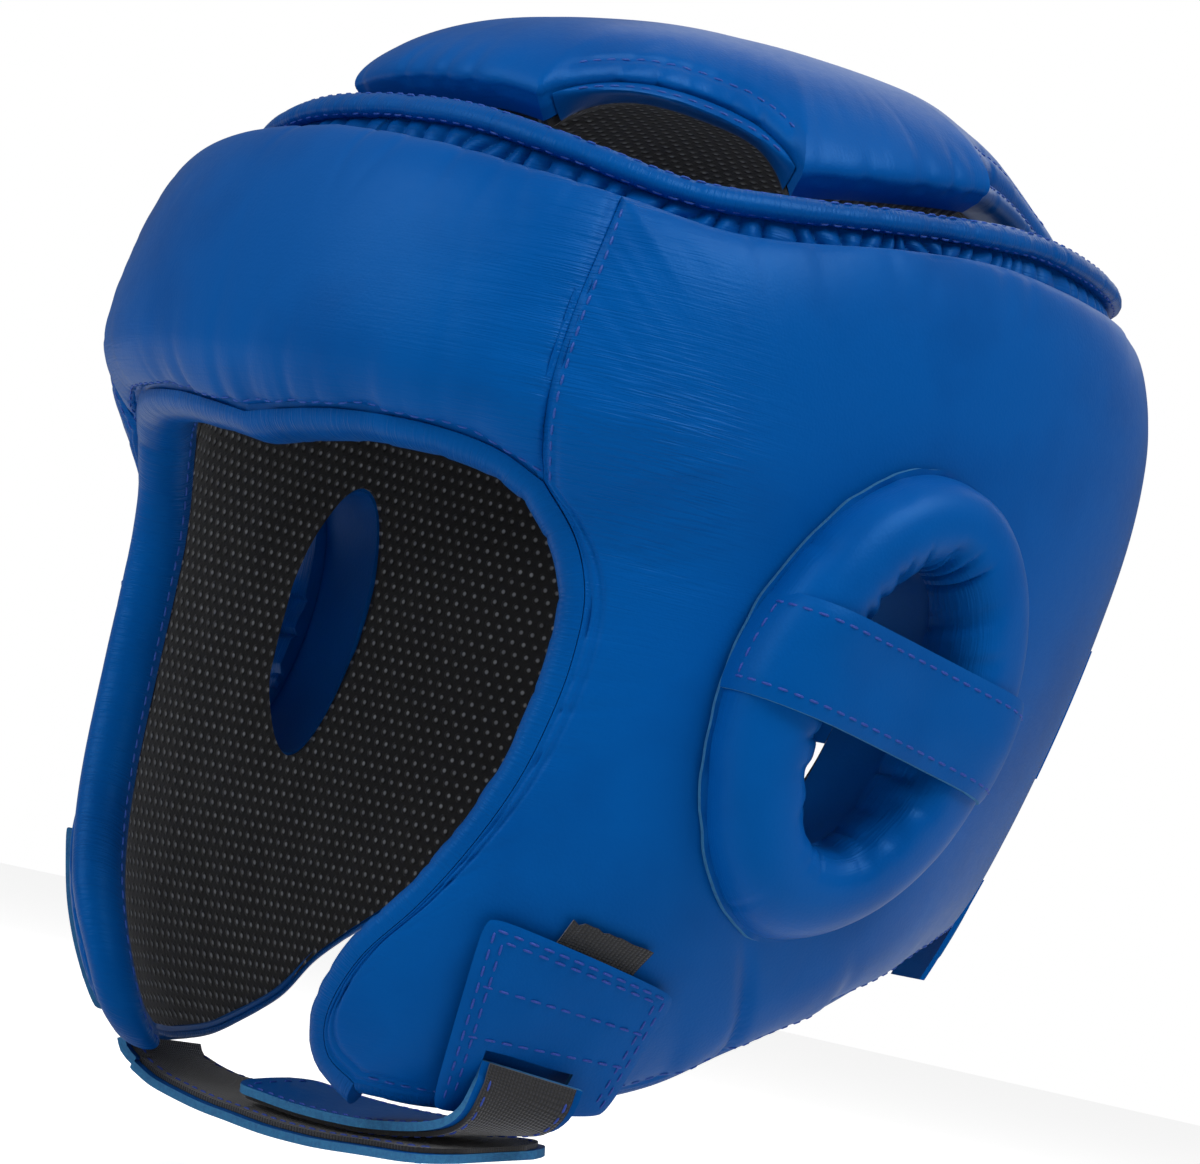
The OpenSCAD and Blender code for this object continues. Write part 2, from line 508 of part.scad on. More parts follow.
forehead_cover();
forehead_foam();
forehead_lining();
side_cover(1);  // left_side_cover
side_foam(1);  // left_side_foam
side_lining(1);  // left_side_lining
side_cover(-1);  // right_side_cover
side_foam(-1);  // right_side_foam
side_lining(-1);  // right_side_lining
face_binding();
lower_welt(1);  // left_lower_welt
lower_welt(-1);  // right_lower_welt
crown_gather();
crown_rim_binding();
crown_rim_flange();
crown_pad_cover();
crown_pad_foam();
crown_pad_lining();
crown_vent_bindings();
ear_ring_cover(1);  // left_ear_ring_cover
ear_ring_foam(1);  // left_ear_ring_foam
ear_strap(1);  // left_ear_strap
ear_ring_cover(-1);  // right_ear_ring_cover
ear_ring_foam(-1);  // right_ear_ring_foam
ear_strap(-1);  // right_ear_strap
left_cheek_patch();
right_cheek_patch();
left_strap_tail();
rear_loop_patch(rear_upper_z, rear_upper_w);  // rear_loop_patch_upper
rear_loop_patch(rear_lower_z, rear_lower_w);  // rear_loop_patch_lower
chin_strap_outer();
chin_strap_outer_hook();
chin_strap_inner();
chin_strap_inner_loop();
rear_strap(rear_upper_z, rear_upper_w);  // rear_strap_upper
rear_strap_hook(rear_upper_z, rear_upper_w);  // rear_strap_upper_hook
rear_strap(rear_lower_z, rear_lower_w);  // rear_strap_lower
rear_strap_hook(rear_lower_z, rear_lower_w);  // rear_strap_lower_hook
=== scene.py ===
import math

import bmesh
import bpy
import numpy as np
from mathutils import Matrix, Vector


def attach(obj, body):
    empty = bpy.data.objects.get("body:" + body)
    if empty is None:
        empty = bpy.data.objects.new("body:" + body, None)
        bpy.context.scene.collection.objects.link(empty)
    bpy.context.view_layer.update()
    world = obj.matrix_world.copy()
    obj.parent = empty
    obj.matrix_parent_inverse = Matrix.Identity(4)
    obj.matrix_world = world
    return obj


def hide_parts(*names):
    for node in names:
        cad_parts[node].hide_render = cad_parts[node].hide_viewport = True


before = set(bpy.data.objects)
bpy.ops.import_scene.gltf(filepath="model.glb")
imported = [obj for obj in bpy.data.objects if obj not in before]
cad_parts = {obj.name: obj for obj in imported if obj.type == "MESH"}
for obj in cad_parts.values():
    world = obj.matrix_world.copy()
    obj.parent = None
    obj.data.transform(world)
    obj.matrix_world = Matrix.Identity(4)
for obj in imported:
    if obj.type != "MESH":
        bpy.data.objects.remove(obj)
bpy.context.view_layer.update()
print("frame loaded:", len(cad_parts), "nodes")

# Lengths in this part are millimetres, angles are degrees round the head from the front.
head = {"halfWidth": 75, "front": 92, "back": 95, "middle": -10, "lean": 0.09}
pads = {"temple": 24, "side": 19, "sideLow": 13.5, "rear": 18, "rearLow": 10, "cheek": 12.5}
layers = {"cover": 1.3, "lining": 2.0}
perDegree = 1.6   # millimetres of padding for one degree round the head


def ease(low, high, value):
    t = np.clip((np.asarray(value, float) - low) / (high - low), 0, 1)
    return t * t * (3 - 2 * t)


def mix(a, b, t):
    return a + (b - a) * t


def wholeTurn(count):
    return np.linspace(0, 360, count, endpoint=False)


def fall(z, up, down, power):
    t = np.minimum(0.985, np.abs(z - head["middle"]) / np.where(z > head["middle"], up, down))
    return (1 - t ** power) ** (1 / power)


def cavityRadius(a, z):
    s, c = np.sin(np.radians(a)), np.cos(np.radians(a))
    width = head["halfWidth"] * fall(z, 112, 150, 2.5)
    length = np.where(c > 0, head["front"] * fall(z, 112, 170, 2.5), head["back"] * fall(z, 116, 150, 2.3))
    return ((np.abs(s) / width) ** 2.5 + (np.abs(c) / length) ** 2.5) ** (-1 / 2.5)


def skin(a, z, off):
    a, z, off = np.broadcast_arrays(np.asarray(a, float), np.asarray(z, float), np.asarray(off, float))
    r = cavityRadius(a, z) + off
    return np.stack([r * np.sin(np.radians(a)), head["lean"] * z - r * np.cos(np.radians(a)), z], -1)


def fullThickness(a, z):
    a = np.abs(np.where(np.asarray(a, float) > 180, 360 - np.asarray(a, float), a))
    front = mix(pads["temple"], pads["cheek"], ease(2, 32, -z))
    side = mix(pads["side"], pads["sideLow"], ease(80, 130, -z))
    rear = mix(pads["rear"], pads["rearLow"], ease(-30, 90, -z))
    return mix(mix(front, side, ease(42, 76, a)), rear, ease(100, 142, a))


def lengthAlong(points):
    return np.concatenate([[0], np.cumsum(np.linalg.norm(np.diff(points, axis=0), axis=1))])


# Smooth curve through a few points, cut into equal steps of about stepSize
def curve(points, stepSize):
    p = np.array(points, float)
    p = np.vstack([2 * p[0] - p[1], p, 2 * p[-1] - p[-2]])
    t = np.linspace(0, 1, 24, endpoint=False)[:, None]
    spans = [0.5 * (2 * p[i + 1] + (p[i + 2] - p[i]) * t
                    + (2 * p[i] - 5 * p[i + 1] + 4 * p[i + 2] - p[i + 3]) * t ** 2
                    + (p[i + 3] - p[i] - 3 * p[i + 2] + 3 * p[i + 1]) * t ** 3) for i in range(len(p) - 3)]
    fine = np.vstack(spans + [p[-2:-1]])
    scale = np.ones(fine.shape[1])
    if stepSize["map"]:
        scale[0], scale[2:] = perDegree, 0
    length = lengthAlong(fine * scale)
    count = max(2, round(length[-1] / stepSize["mm"]))
    at = np.linspace(0, length[-1], count + 1)
    return np.stack([np.interp(at, length, fine[:, k]) for k in range(fine.shape[1])], 1)


edgeStep = {"mm": 1.5, "map": True}
seamStep = {"mm": 1.2, "map": True}
topEdge = curve([[37.7, 39.5, 19], [52.5, 38, 17], [73.5, 44.5, 16], [92, 48.5, 15], [109, 49, 14],
                 [128, 48.5, 13], [145, 47, 12], [160, 46, 11]], edgeStep)
rearEdge = curve([[160, 46, 11], [163, 22, 10], [163, -20, 9], [161, -58, 8.5], [155, -82, 8.5]], edgeStep)
lowerEdge = curve([[155, -82, 8.5], [145, -84, 8.5], [133, -88, 8.5], [119.5, -98, 9], [108, -109, 9],
                   [95.5, -119, 9], [83, -129, 9], [61, -137.5, 9.5], [43, -140.5, 10], [32, -140.5, 10]], edgeStep)
faceEdge = curve([[32, -140.5, 10], [28, -136, 10], [27.5, -128, 10], [31, -116, 11], [36.5, -104, 11],
                  [41, -90.5, 11], [44.3, -76, 11], [46, -61, 11], [46.4, -49, 11], [45.7, -38, 11],
                  [43, -28, 11], [38, -18.5, 12]], seamStep)
frontSeam = curve([[38, -18.5, 12], [37.2, -11, 18], [36.8, 0, 22.5], [37, 15, 23], [37.5, 28, 22],
                   [37.7, 39.5, 19]], seamStep)
browEdge = curve([[38, -18.5, 12], [32, -14, 13], [24, -12, 14], [14, -12, 14], [6, -13.5, 14], [0, -15, 14]],
                 seamStep)
browTop = curve([[37.7, 39.5, 19], [28, 41.5, 18.5], [14, 44.5, 18], [0, 46, 18]], seamStep)


def flipped(points):
    return points * np.array([-1, 1, 1])


def hashed(i, j, seed):
    return np.modf(np.abs(np.sin(i * 127.1 + j * 311.7 + seed * 74.7) * 43758.5453))[0]


# Smooth noise from -1 to 1
def noise(x, y=0.0, seed=0):
    x, y = np.broadcast_arrays(np.asarray(x, float), np.asarray(y, float))
    i, j = np.floor(x), np.floor(y)
    fx, fy = ease(0, 1, x - i), ease(0, 1, y - j)
    low = mix(hashed(i, j, seed), hashed(i + 1, j, seed), fx)
    high = mix(hashed(i, j + 1, seed), hashed(i + 1, j + 1, seed), fx)
    return 2 * mix(low, high, fy) - 1


# Thin creases, 1 at the bottom of each crease, wherever the noise crosses zero
def creases(x, y, seed, sharp=0.22):
    return np.exp(-(noise(x, y, seed) / sharp) ** 2)


# Unit normals of a grid of points; closed grids wrap round their columns
def gridNormals(p, closed):
    wrapped = np.concatenate([p[:, -1:], p, p[:, :1]], 1) if closed else p
    alongRow = np.gradient(wrapped, axis=1)
    alongRow = alongRow[:, 1:-1] if closed else alongRow
    across = np.gradient(p, axis=0)
    n = np.cross(alongRow, across)
    return n / np.maximum(np.linalg.norm(n, axis=-1, keepdims=True), 1e-9)


# A part is its points, its four-sided faces, a UV in millimetres for each face corner and a finish for each face
def gridPart(points, closed=False, uv=None, finish=0, attribute=None):
    rows, cols = points.shape[:2]
    i, j = np.meshgrid(np.arange(rows - 1), np.arange(cols if closed else cols - 1), indexing="ij")
    corner = [(i, j), (i, j + 1), (i + 1, j + 1), (i + 1, j)]
    faces = np.stack([r * cols + c % cols for r, c in corner], -1).reshape(-1, 4)
    if uv is None:
        uv = np.zeros((rows, cols + 1, 2))
    loops = np.stack([uv[r, c] for r, c in corner], -2).reshape(-1, 4, 2)
    value = np.zeros(rows * cols) if attribute is None else attribute.reshape(-1)
    return {"points": points.reshape(-1, 3), "faces": faces, "uv": loops,
            "finish": np.full(len(faces), finish), "crease": value}


def joined(parts):
    start, faces = 0, []
    for part in parts:
        faces.append(part["faces"] + start)
        start += len(part["points"])
    whole = {key: np.concatenate([part[key] for part in parts]) for key in ("points", "uv", "finish", "crease")}
    whole["faces"] = np.concatenate(faces)
    return whole


# Closed solid between two equal grids
def solidPart(outer, inner, closed=False, uv=None, rimFinish=0, innerFinish=0, attribute=None):
    uvWide = uv if uv is not None else np.zeros(outer.shape[:1] + (outer.shape[1] + 1, 2))
    parts = [gridPart(outer, closed, uvWide, 0, attribute), gridPart(inner, closed, uvWide, innerFinish, attribute)]
    for k in (0, -1):
        wall = np.stack([outer[k], inner[k]])
        parts.append(gridPart(wall, closed, np.stack([uvWide[k], uvWide[k]]), rimFinish))
    if not closed:
        for k in (0, -1):
            wall = np.stack([outer[:, k], inner[:, k]])
            side = np.stack([uvWide[:, k], uvWide[:, k]])
            parts.append(gridPart(wall, False, side, rimFinish))
    return joined(parts)


def cutFaces(part, keep):
    return {**part, "faces": part["faces"][keep], "uv": part["uv"][keep], "finish": part["finish"][keep]}


def meshObject(name, part, materials, sharpAngle=38):
    mesh = bpy.data.meshes.new(name)
    mesh.from_pydata((part["points"] / 1000).tolist(), [], part["faces"].tolist())
    mesh.uv_layers.new(name="mm").data.foreach_set("uv", part["uv"].reshape(-1))
    mesh.attributes.new("crease", "FLOAT", "POINT").data.foreach_set("value", part["crease"].astype(np.float32))
    for m in materials:
        mesh.materials.append(m)
    mesh.polygons.foreach_set("material_index", part["finish"].astype(np.int32))
    shape = bmesh.new()
    shape.from_mesh(mesh)
    bmesh.ops.remove_doubles(shape, verts=shape.verts, dist=3e-6)
    bmesh.ops.dissolve_degenerate(shape, edges=shape.edges, dist=1e-6)
    bmesh.ops.recalc_face_normals(shape, faces=shape.faces)
    for f in shape.faces:
        f.smooth = True
    shape.to_mesh(mesh)
    shape.free()
    mesh.set_sharp_from_angle(angle=math.radians(sharpAngle))
    piece = bpy.data.objects.new(name, mesh)
    bpy.context.scene.collection.objects.link(piece)
    return piece


# Places a piece: the body it moves with and the CAD nodes it stands for
def place(piece, body, nodes=()):
    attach(piece, body)
    if nodes:
        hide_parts(*nodes)
    return piece


def mirrorPart(part):
    return {**part, "points": part["points"] * np.array([-1, 1, 1])}


# UV in millimetres from angle and height, with one more column for closed grids
def shellUv(a, z):
    uv = np.stack([a * perDegree, z], -1)
    return np.concatenate([uv, uv[:, :1]], 1)


# UV in millimetres along the middle row and the middle column
def lengthUv(points):
    ring = np.concatenate([points, points[:, :1]], 1)
    middle = points[:, points.shape[1] // 2]
    return np.stack(np.meshgrid(lengthAlong(ring[len(ring) // 2]), lengthAlong(middle)), -1)


thread = {"pitch": 3.3, "length": 2.4, "radius": 0.26, "sides": 6}


# Row of stitches on a line of points, each lying flat on the surface with that normal
def stitchRun(points, normals, pitch=thread["pitch"], radius=thread["radius"], sink=0.1):
    length = lengthAlong(points)
    count = max(1, int(length[-1] / pitch))
    half = thread["length"] / 2 * pitch / thread["pitch"]
    centres = (np.arange(count) + 0.5) * length[-1] / count

    def sample(values, at):
        return np.stack([np.interp(at, length, values[:, k]) for k in range(3)], 1)

    profile = np.array([[-1, 0.0], [-0.88, 0.7], [-0.5, 1], [0.5, 1], [0.88, 0.7], [1, 0.0]])
    rings = []
    n = sample(normals, centres)
    n /= np.linalg.norm(n, axis=1, keepdims=True)
    for u, w in profile:
        p = sample(points, np.clip(centres + u * half, 0, length[-1]))
        p = p + n * (radius * (0.6 - 1.3 * abs(u) ** 4) - sink)
        ahead, behind = (np.clip(centres + step, 0, length[-1]) for step in (0.3, -0.3))
        t = sample(points, ahead) - sample(points, behind)
        t /= np.maximum(np.linalg.norm(t, axis=1, keepdims=True), 1e-9)
        side = np.cross(t, n)
        q = np.arange(thread["sides"]) * 2 * math.pi / thread["sides"]
        rings.append(p[:, None] + radius * max(w, 0.02) * (side[:, None] * np.cos(q)[None, :, None]
                                                           + n[:, None] * np.sin(q)[None, :, None]))
    return joined([gridPart(stitch, True) for stitch in np.stack(rings, 1)])


def stitchObject(name, runs, material, body):
    piece = meshObject(name, joined(runs), [material], 80)
    return place(piece, body)


# Line on a grid where the distance from one of its edges has a given value
def lineAt(points, normals, distance, value):
    line, normal = [], []
    for k in range(points.shape[1]):
        d = distance[:, k]
        order = np.argsort(d)
        line.append([np.interp(value, d[order], points[order, k, m]) for m in range(3)])
        normal.append([np.interp(value, d[order], normals[order, k, m]) for m in range(3)])
    return np.array(line), np.array(normal)


def colour(hexText):
    values = [int(hexText[i:i + 2], 16) / 255 for i in (1, 3, 5)]
    return tuple(v / 12.92 if v <= 0.04045 else ((v + 0.055) / 1.055) ** 2.4 for v in values) + (1.0,)


def newMaterial(name):
    material = bpy.data.materials.new(name)
    material.use_nodes = True
    tree = material.node_tree
    return material, tree, tree.nodes["Principled BSDF"]


# Adds a node, sets its properties, and fills its inputs, by name or in order, with values or links
def addNode(tree, kind, inputs=(), **settings):
    node = tree.nodes.new(kind)
    for key, value in settings.items():
        setattr(node, key, value)
    for key, value in inputs.items() if isinstance(inputs, dict) else enumerate(inputs):
        if isinstance(value, bpy.types.NodeSocket):
            tree.links.new(value, node.inputs[key])
        else:
            node.inputs[key].default_value = value
    return node


# Colours the film between two tones and stacks the bumps, each a height and its depth in millimetres
def dress(tree, shader, factor, tones, heights):
    tint = addNode(tree, "ShaderNodeMix", {"Factor": factor, "A": colour(tones[0]), "B": colour(tones[1])},
                   data_type="RGBA")
    tree.links.new(tint.outputs["Result"], shader.inputs["Base Color"])
    below = {}
    for height, depth in heights:
        bump = addNode(tree, "ShaderNodeBump", {"Height": height, "Distance": depth / 1000, "Strength": 1.0, **below})
        below = {"Normal": bump.outputs["Normal"]}
    tree.links.new(bump.outputs["Normal"], shader.inputs["Normal"])


leathers = {
    "panel": {"base": "#0052a0", "deep": "#00468f", "rough": 0.40, "grain": 0.022, "crease": 0.10},
    "rolled": {"base": "#004f9a", "deep": "#004288", "rough": 0.36, "grain": 0.020, "crease": 0.14},
    "strap": {"base": "#00509c", "deep": "#00448b", "rough": 0.44, "grain": 0.026, "crease": 0.07},
}


# Coated split leather: a satin film over a fine pebble grain, which gives broad soft highlights that
# break up a little where the grain catches light; thin creases show where a seam pulls the film
def leatherMaterial(name, look):
    material, tree, shader = newMaterial(name)
    place3d = addNode(tree, "ShaderNodeTexCoord").outputs["Object"]
    uv = addNode(tree, "ShaderNodeUVMap", uv_map="mm").outputs["UV"]
    cloud = addNode(tree, "ShaderNodeTexNoise", {"Vector": place3d, "Scale": 28, "Detail": 3}).outputs["Fac"]
    ramp = addNode(tree, "ShaderNodeMapRange", {"Value": cloud, "From Min": 0.2, "From Max": 0.55}).outputs[0]
    pebble = addNode(tree, "ShaderNodeTexVoronoi", {"Vector": place3d, "Scale": 1500}).outputs["Distance"]
    soft = addNode(tree, "ShaderNodeTexNoise", {"Vector": place3d, "Scale": 420, "Detail": 3,
                                                "Roughness": 0.6}).outputs["Fac"]
    stretched = addNode(tree, "ShaderNodeVectorMath", (uv, (0.055, 0.85, 0.0)), operation="MULTIPLY").outputs[0]
    lines = addNode(tree, "ShaderNodeTexNoise", {"Vector": stretched, "Scale": 1.0, "Detail": 2,
                                                 "Roughness": 0.55}).outputs["Fac"]
    centred = addNode(tree, "ShaderNodeMath", (lines, 0.5), operation="SUBTRACT").outputs[0]
    sharp = addNode(tree, "ShaderNodeMath", (centred,), operation="ABSOLUTE").outputs[0]
    steep = addNode(tree, "ShaderNodeMath", (sharp, 7.0), operation="MULTIPLY").outputs[0]
    valley = addNode(tree, "ShaderNodeMath", (steep, 1.0), operation="MINIMUM").outputs[0]
    amount = addNode(tree, "ShaderNodeAttribute", attribute_name="crease").outputs["Fac"]
    pull = addNode(tree, "ShaderNodeMath", (valley, amount), operation="MULTIPLY").outputs[0]
    rough = addNode(tree, "ShaderNodeMapRange", {"Value": soft, "To Min": look["rough"] - 0.05,
                                                 "To Max": look["rough"] + 0.07}).outputs[0]
    tree.links.new(rough, shader.inputs["Roughness"])
    dress(tree, shader, ramp, (look["deep"], look["base"]),
          [(pebble, look["grain"]), (soft, look["grain"]), (pull, look["crease"])])
    shader.inputs["IOR"].default_value = 1.48
    shader.inputs["Specular IOR Level"].default_value = 0.32
    shader.inputs["Specular Tint"].default_value = colour("#4fb0ff")
    return material


# Cut edge of the leather: the undyed fibre shows pale blue and dry beside the satin film
def rawEdgeMaterial():
    material, tree, shader = newMaterial("rawLeatherEdge")
    place3d = addNode(tree, "ShaderNodeTexCoord").outputs["Object"]
    fibre = addNode(tree, "ShaderNodeTexNoise", {"Vector": place3d, "Scale": 900, "Detail": 4,
                                                 "Roughness": 0.7}).outputs["Fac"]
    dress(tree, shader, fibre, ("#08427e", "#3389b8"), [(fibre, 0.25)])
    shader.inputs["Roughness"].default_value = 0.8
    return material


# Polyester thread: twisted plies, a little paler and more violet than the leather, with painted shade between the
# plies
def threadMaterial(name, hexText):
    material, tree, shader = newMaterial(name)
    place3d = addNode(tree, "ShaderNodeTexCoord").outputs["Object"]
    plyDepthAndShade = addNode(tree, "ShaderNodeTexNoise", {"Vector": place3d, "Scale": 2600, "Detail": 2}).outputs["Fac"]
    # painted shade: the thread is coloured darker wherever the ply bump is low, as if shaded between the plies
    dress(tree, shader, plyDepthAndShade, ("#0a3078", hexText), [(plyDepthAndShade, 0.08)])
    shader.inputs["Roughness"].default_value = 0.55
    return material


meshCloth = {"base": "#141417", "dot": "#a9adb3", "pitch": 3.1, "dotRadius": 0.5}


# Spacer mesh: black knit with a small open cell at each point of a hexagonal net, where the pale
# backing shows as a dot
def meshMaterial():
    material, tree, shader = newMaterial("spacerMesh")
    uv = addNode(tree, "ShaderNodeUVMap", uv_map="mm").outputs["UV"]
    pitch = meshCloth["pitch"]
    cell, plane = (pitch, pitch * 1.732, 1.0), (pitch, pitch * 1.732, 0)
    half = (0.5, 0.5, 0)
    scaled = addNode(tree, "ShaderNodeVectorMath", (uv, cell), operation="DIVIDE").outputs[0]
    shifted = addNode(tree, "ShaderNodeVectorMath", (scaled, half), operation="ADD").outputs[0]
    distances = []
    for source in (scaled, shifted):
        part = addNode(tree, "ShaderNodeVectorMath", (source,), operation="FRACTION").outputs[0]
        centred = addNode(tree, "ShaderNodeVectorMath", (part, half), operation="SUBTRACT").outputs[0]
        flat = addNode(tree, "ShaderNodeVectorMath", (centred, plane), operation="MULTIPLY").outputs[0]
        distances.append(addNode(tree, "ShaderNodeVectorMath", (flat,), operation="LENGTH").outputs["Value"])
    nearest = addNode(tree, "ShaderNodeMath", distances, operation="MINIMUM").outputs[0]
    dot = addNode(tree, "ShaderNodeMapRange", {"Value": nearest, "From Min": meshCloth["dotRadius"] * 0.6,
                                               "From Max": meshCloth["dotRadius"] * 1.25, "To Min": 1.0,
                                               "To Max": 0.0}).outputs[0]
    place3d = addNode(tree, "ShaderNodeTexCoord").outputs["Object"]
    uneven = addNode(tree, "ShaderNodeTexNoise", {"Vector": place3d, "Scale": 350, "Detail": 2}).outputs["Fac"]
    worn = addNode(tree, "ShaderNodeMath", (uneven, 1.3), operation="MULTIPLY").outputs[0]
    strength = addNode(tree, "ShaderNodeMath", (dot, worn), operation="MULTIPLY").outputs[0]
    well = addNode(tree, "ShaderNodeMapRange", {"Value": nearest, "From Min": 0.3, "From Max": 1.1}).outputs[0]
    knit = addNode(tree, "ShaderNodeTexNoise", {"Vector": place3d, "Scale": 1500, "Detail": 2}).outputs["Fac"]
    dress(tree, shader, strength, (meshCloth["base"], meshCloth["dot"]), [(well, 0.45), (knit, 0.12)])
    shader.inputs["Roughness"].default_value = 0.78
    shader.inputs["Sheen Weight"].default_value = 0.2
    return material


# Hook and loop tapes: a woven black ground with rows of bristles (hook) or a brushed nap (loop), with painted shade
# between the ribs
def tapeMaterial(name, rowPitch, height):
    material, tree, shader = newMaterial(name)
    uv = addNode(tree, "ShaderNodeUVMap", uv_map="mm").outputs["UV"]
    rows = addNode(tree, "ShaderNodeVectorMath", (uv, (math.pi / rowPitch, math.pi / (rowPitch * 0.8), 0)),
                   operation="MULTIPLY").outputs[0]
    parts = addNode(tree, "ShaderNodeSeparateXYZ", (rows,))
    waves = [addNode(tree, "ShaderNodeMath", (parts.outputs[k],), operation="SINE").outputs[0] for k in (0, 1)]
    weave = addNode(tree, "ShaderNodeMath", waves, operation="MULTIPLY").outputs[0]
    ribs = addNode(tree, "ShaderNodeMath", (weave,), operation="ABSOLUTE").outputs[0]
    place3d = addNode(tree, "ShaderNodeTexCoord").outputs["Object"]
    nap = addNode(tree, "ShaderNodeTexNoise", {"Vector": place3d, "Scale": 1700, "Detail": 3,
                                               "Roughness": 0.7}).outputs["Fac"]
    # painted shade and highlight: the rib tops are coloured paler and the hollows between ribs darker, varied at
    # random by the nap
    ribShadeAndNap = addNode(tree, "ShaderNodeMath", (ribs, nap), operation="MULTIPLY").outputs[0]
    dress(tree, shader, ribShadeAndNap, ("#08080b", "#2b2b33"), [(ribs, height), (nap, height * 0.5)])
    shader.inputs["Roughness"].default_value = 0.72
    shader.inputs["Sheen Weight"].default_value = 0.35
    return material


# Closed-cell foam: fine matt cells, seen only where a piece is opened
def foamMaterial():
    material, tree, shader = newMaterial("closedCellFoam")
    place3d = addNode(tree, "ShaderNodeTexCoord").outputs["Object"]
    cells = addNode(tree, "ShaderNodeTexVoronoi", {"Vector": place3d, "Scale": 900}).outputs["Distance"]
    dress(tree, shader, cells, ("#9a9da3", "#7d8086"), [(cells, 0.15)])
    shader.inputs["Roughness"].default_value = 0.85
    return material


panelLeather = leatherMaterial("satinLeatherPanel", leathers["panel"])
rolledLeather = leatherMaterial("satinLeatherRolled", leathers["rolled"])
strapLeather = leatherMaterial("satinLeatherStrap", leathers["strap"])
rawEdge = rawEdgeMaterial()
blueThread = threadMaterial("blueThread", "#1c5cc4")
violetThread = threadMaterial("violetThread", "#2a4fc0")
spacerMesh = meshMaterial()
hookTape = tapeMaterial("hookTape", 1.1, 0.28)
loopTape = tapeMaterial("loopTape", 0.8, 0.16)
foamGrey = foamMaterial()
print("materials ready")

ear = {"angle": 84.5, "height": -46.5, "lean": 6, "halfWidth": 22.5, "halfHeight": 39,
       "padWidth": 10, "padHeight": 13, "gap": 0.7, "hole": 8.5}


def earAt(t, w, h):
    c, s = math.cos(math.radians(ear["lean"])), math.sin(math.radians(ear["lean"]))
    x, y = w * np.cos(t), h * np.sin(t)
    return ear["angle"] + (x * c + y * s) / perDegree, ear["height"] - x * s + y * c


def earAngle(a, z):
    c, s = math.cos(math.radians(ear["lean"])), math.sin(math.radians(ear["lean"]))
    x, y = (a - ear["angle"]) * perDegree, z - ear["height"]
    return np.arctan2((x * s + y * c) / (ear["halfHeight"] - ear["hole"]),
                      (x * c - y * s) / (ear["halfWidth"] - ear["hole"]))


def edgeRound(r):
    t = np.clip((r - 0.7) / 0.3, 0, 1)
    return (1 - t ** 2.2) ** (1 / 2.2)


pucker = {"seamDepth": 0.5, "faceDepth": 0.55, "soft": 0.8, "underEar": 1.3, "groove": 1.3}
sideLoop = np.vstack([topEdge[:-1], rearEdge[:-1], lowerEdge[:-1], faceEdge[:-1], frontSeam[:-1]])
counts = [len(c) - 1 for c in (topEdge, rearEdge, lowerEdge, faceEdge, frontSeam)]
startOf = dict(zip(("top", "rear", "lower", "face", "seam"), np.concatenate([[0], np.cumsum(counts)[:-1]])))


def sideGrid(r, part):
    r = np.asarray(r, float)[:, None]
    part = np.asarray(part, float)[:, None]
    a1, z1, e1 = sideLoop[:, 0][None], sideLoop[:, 1][None], sideLoop[:, 2][None]
    t = earAngle(a1, z1)
    a0, z0 = earAt(t, ear["halfWidth"] - ear["hole"], ear["halfHeight"] - ear["hole"])
    a, z = mix(a0, a1, r), mix(z0, z1, r)
    return a, z, mix(e1, fullThickness(a, z), edgeRound(r)) * part


# 1 on the named stretch of the outline, falling to 0 over a few columns beyond it
def closeness(total, name, count, reach):
    start = startOf[name]
    k = np.arange(total)
    inside = ((k - start) % total) <= count
    away = np.minimum((start - k) % total, (k - start - count) % total)
    return np.where(inside, 1.0, np.maximum(0, 1 - away / reach))


# Relief that settles to one depth at a shared edge, so two panels meet there
def edgeBlend(relief, toEdge, depth):
    return mix(-depth, relief, ease(0, 1.6, toEdge))


sideRows = {"earWall": 9, "flat": 50, "rounded": 43, "edgeWall": 8, "flatShare": 0.72}


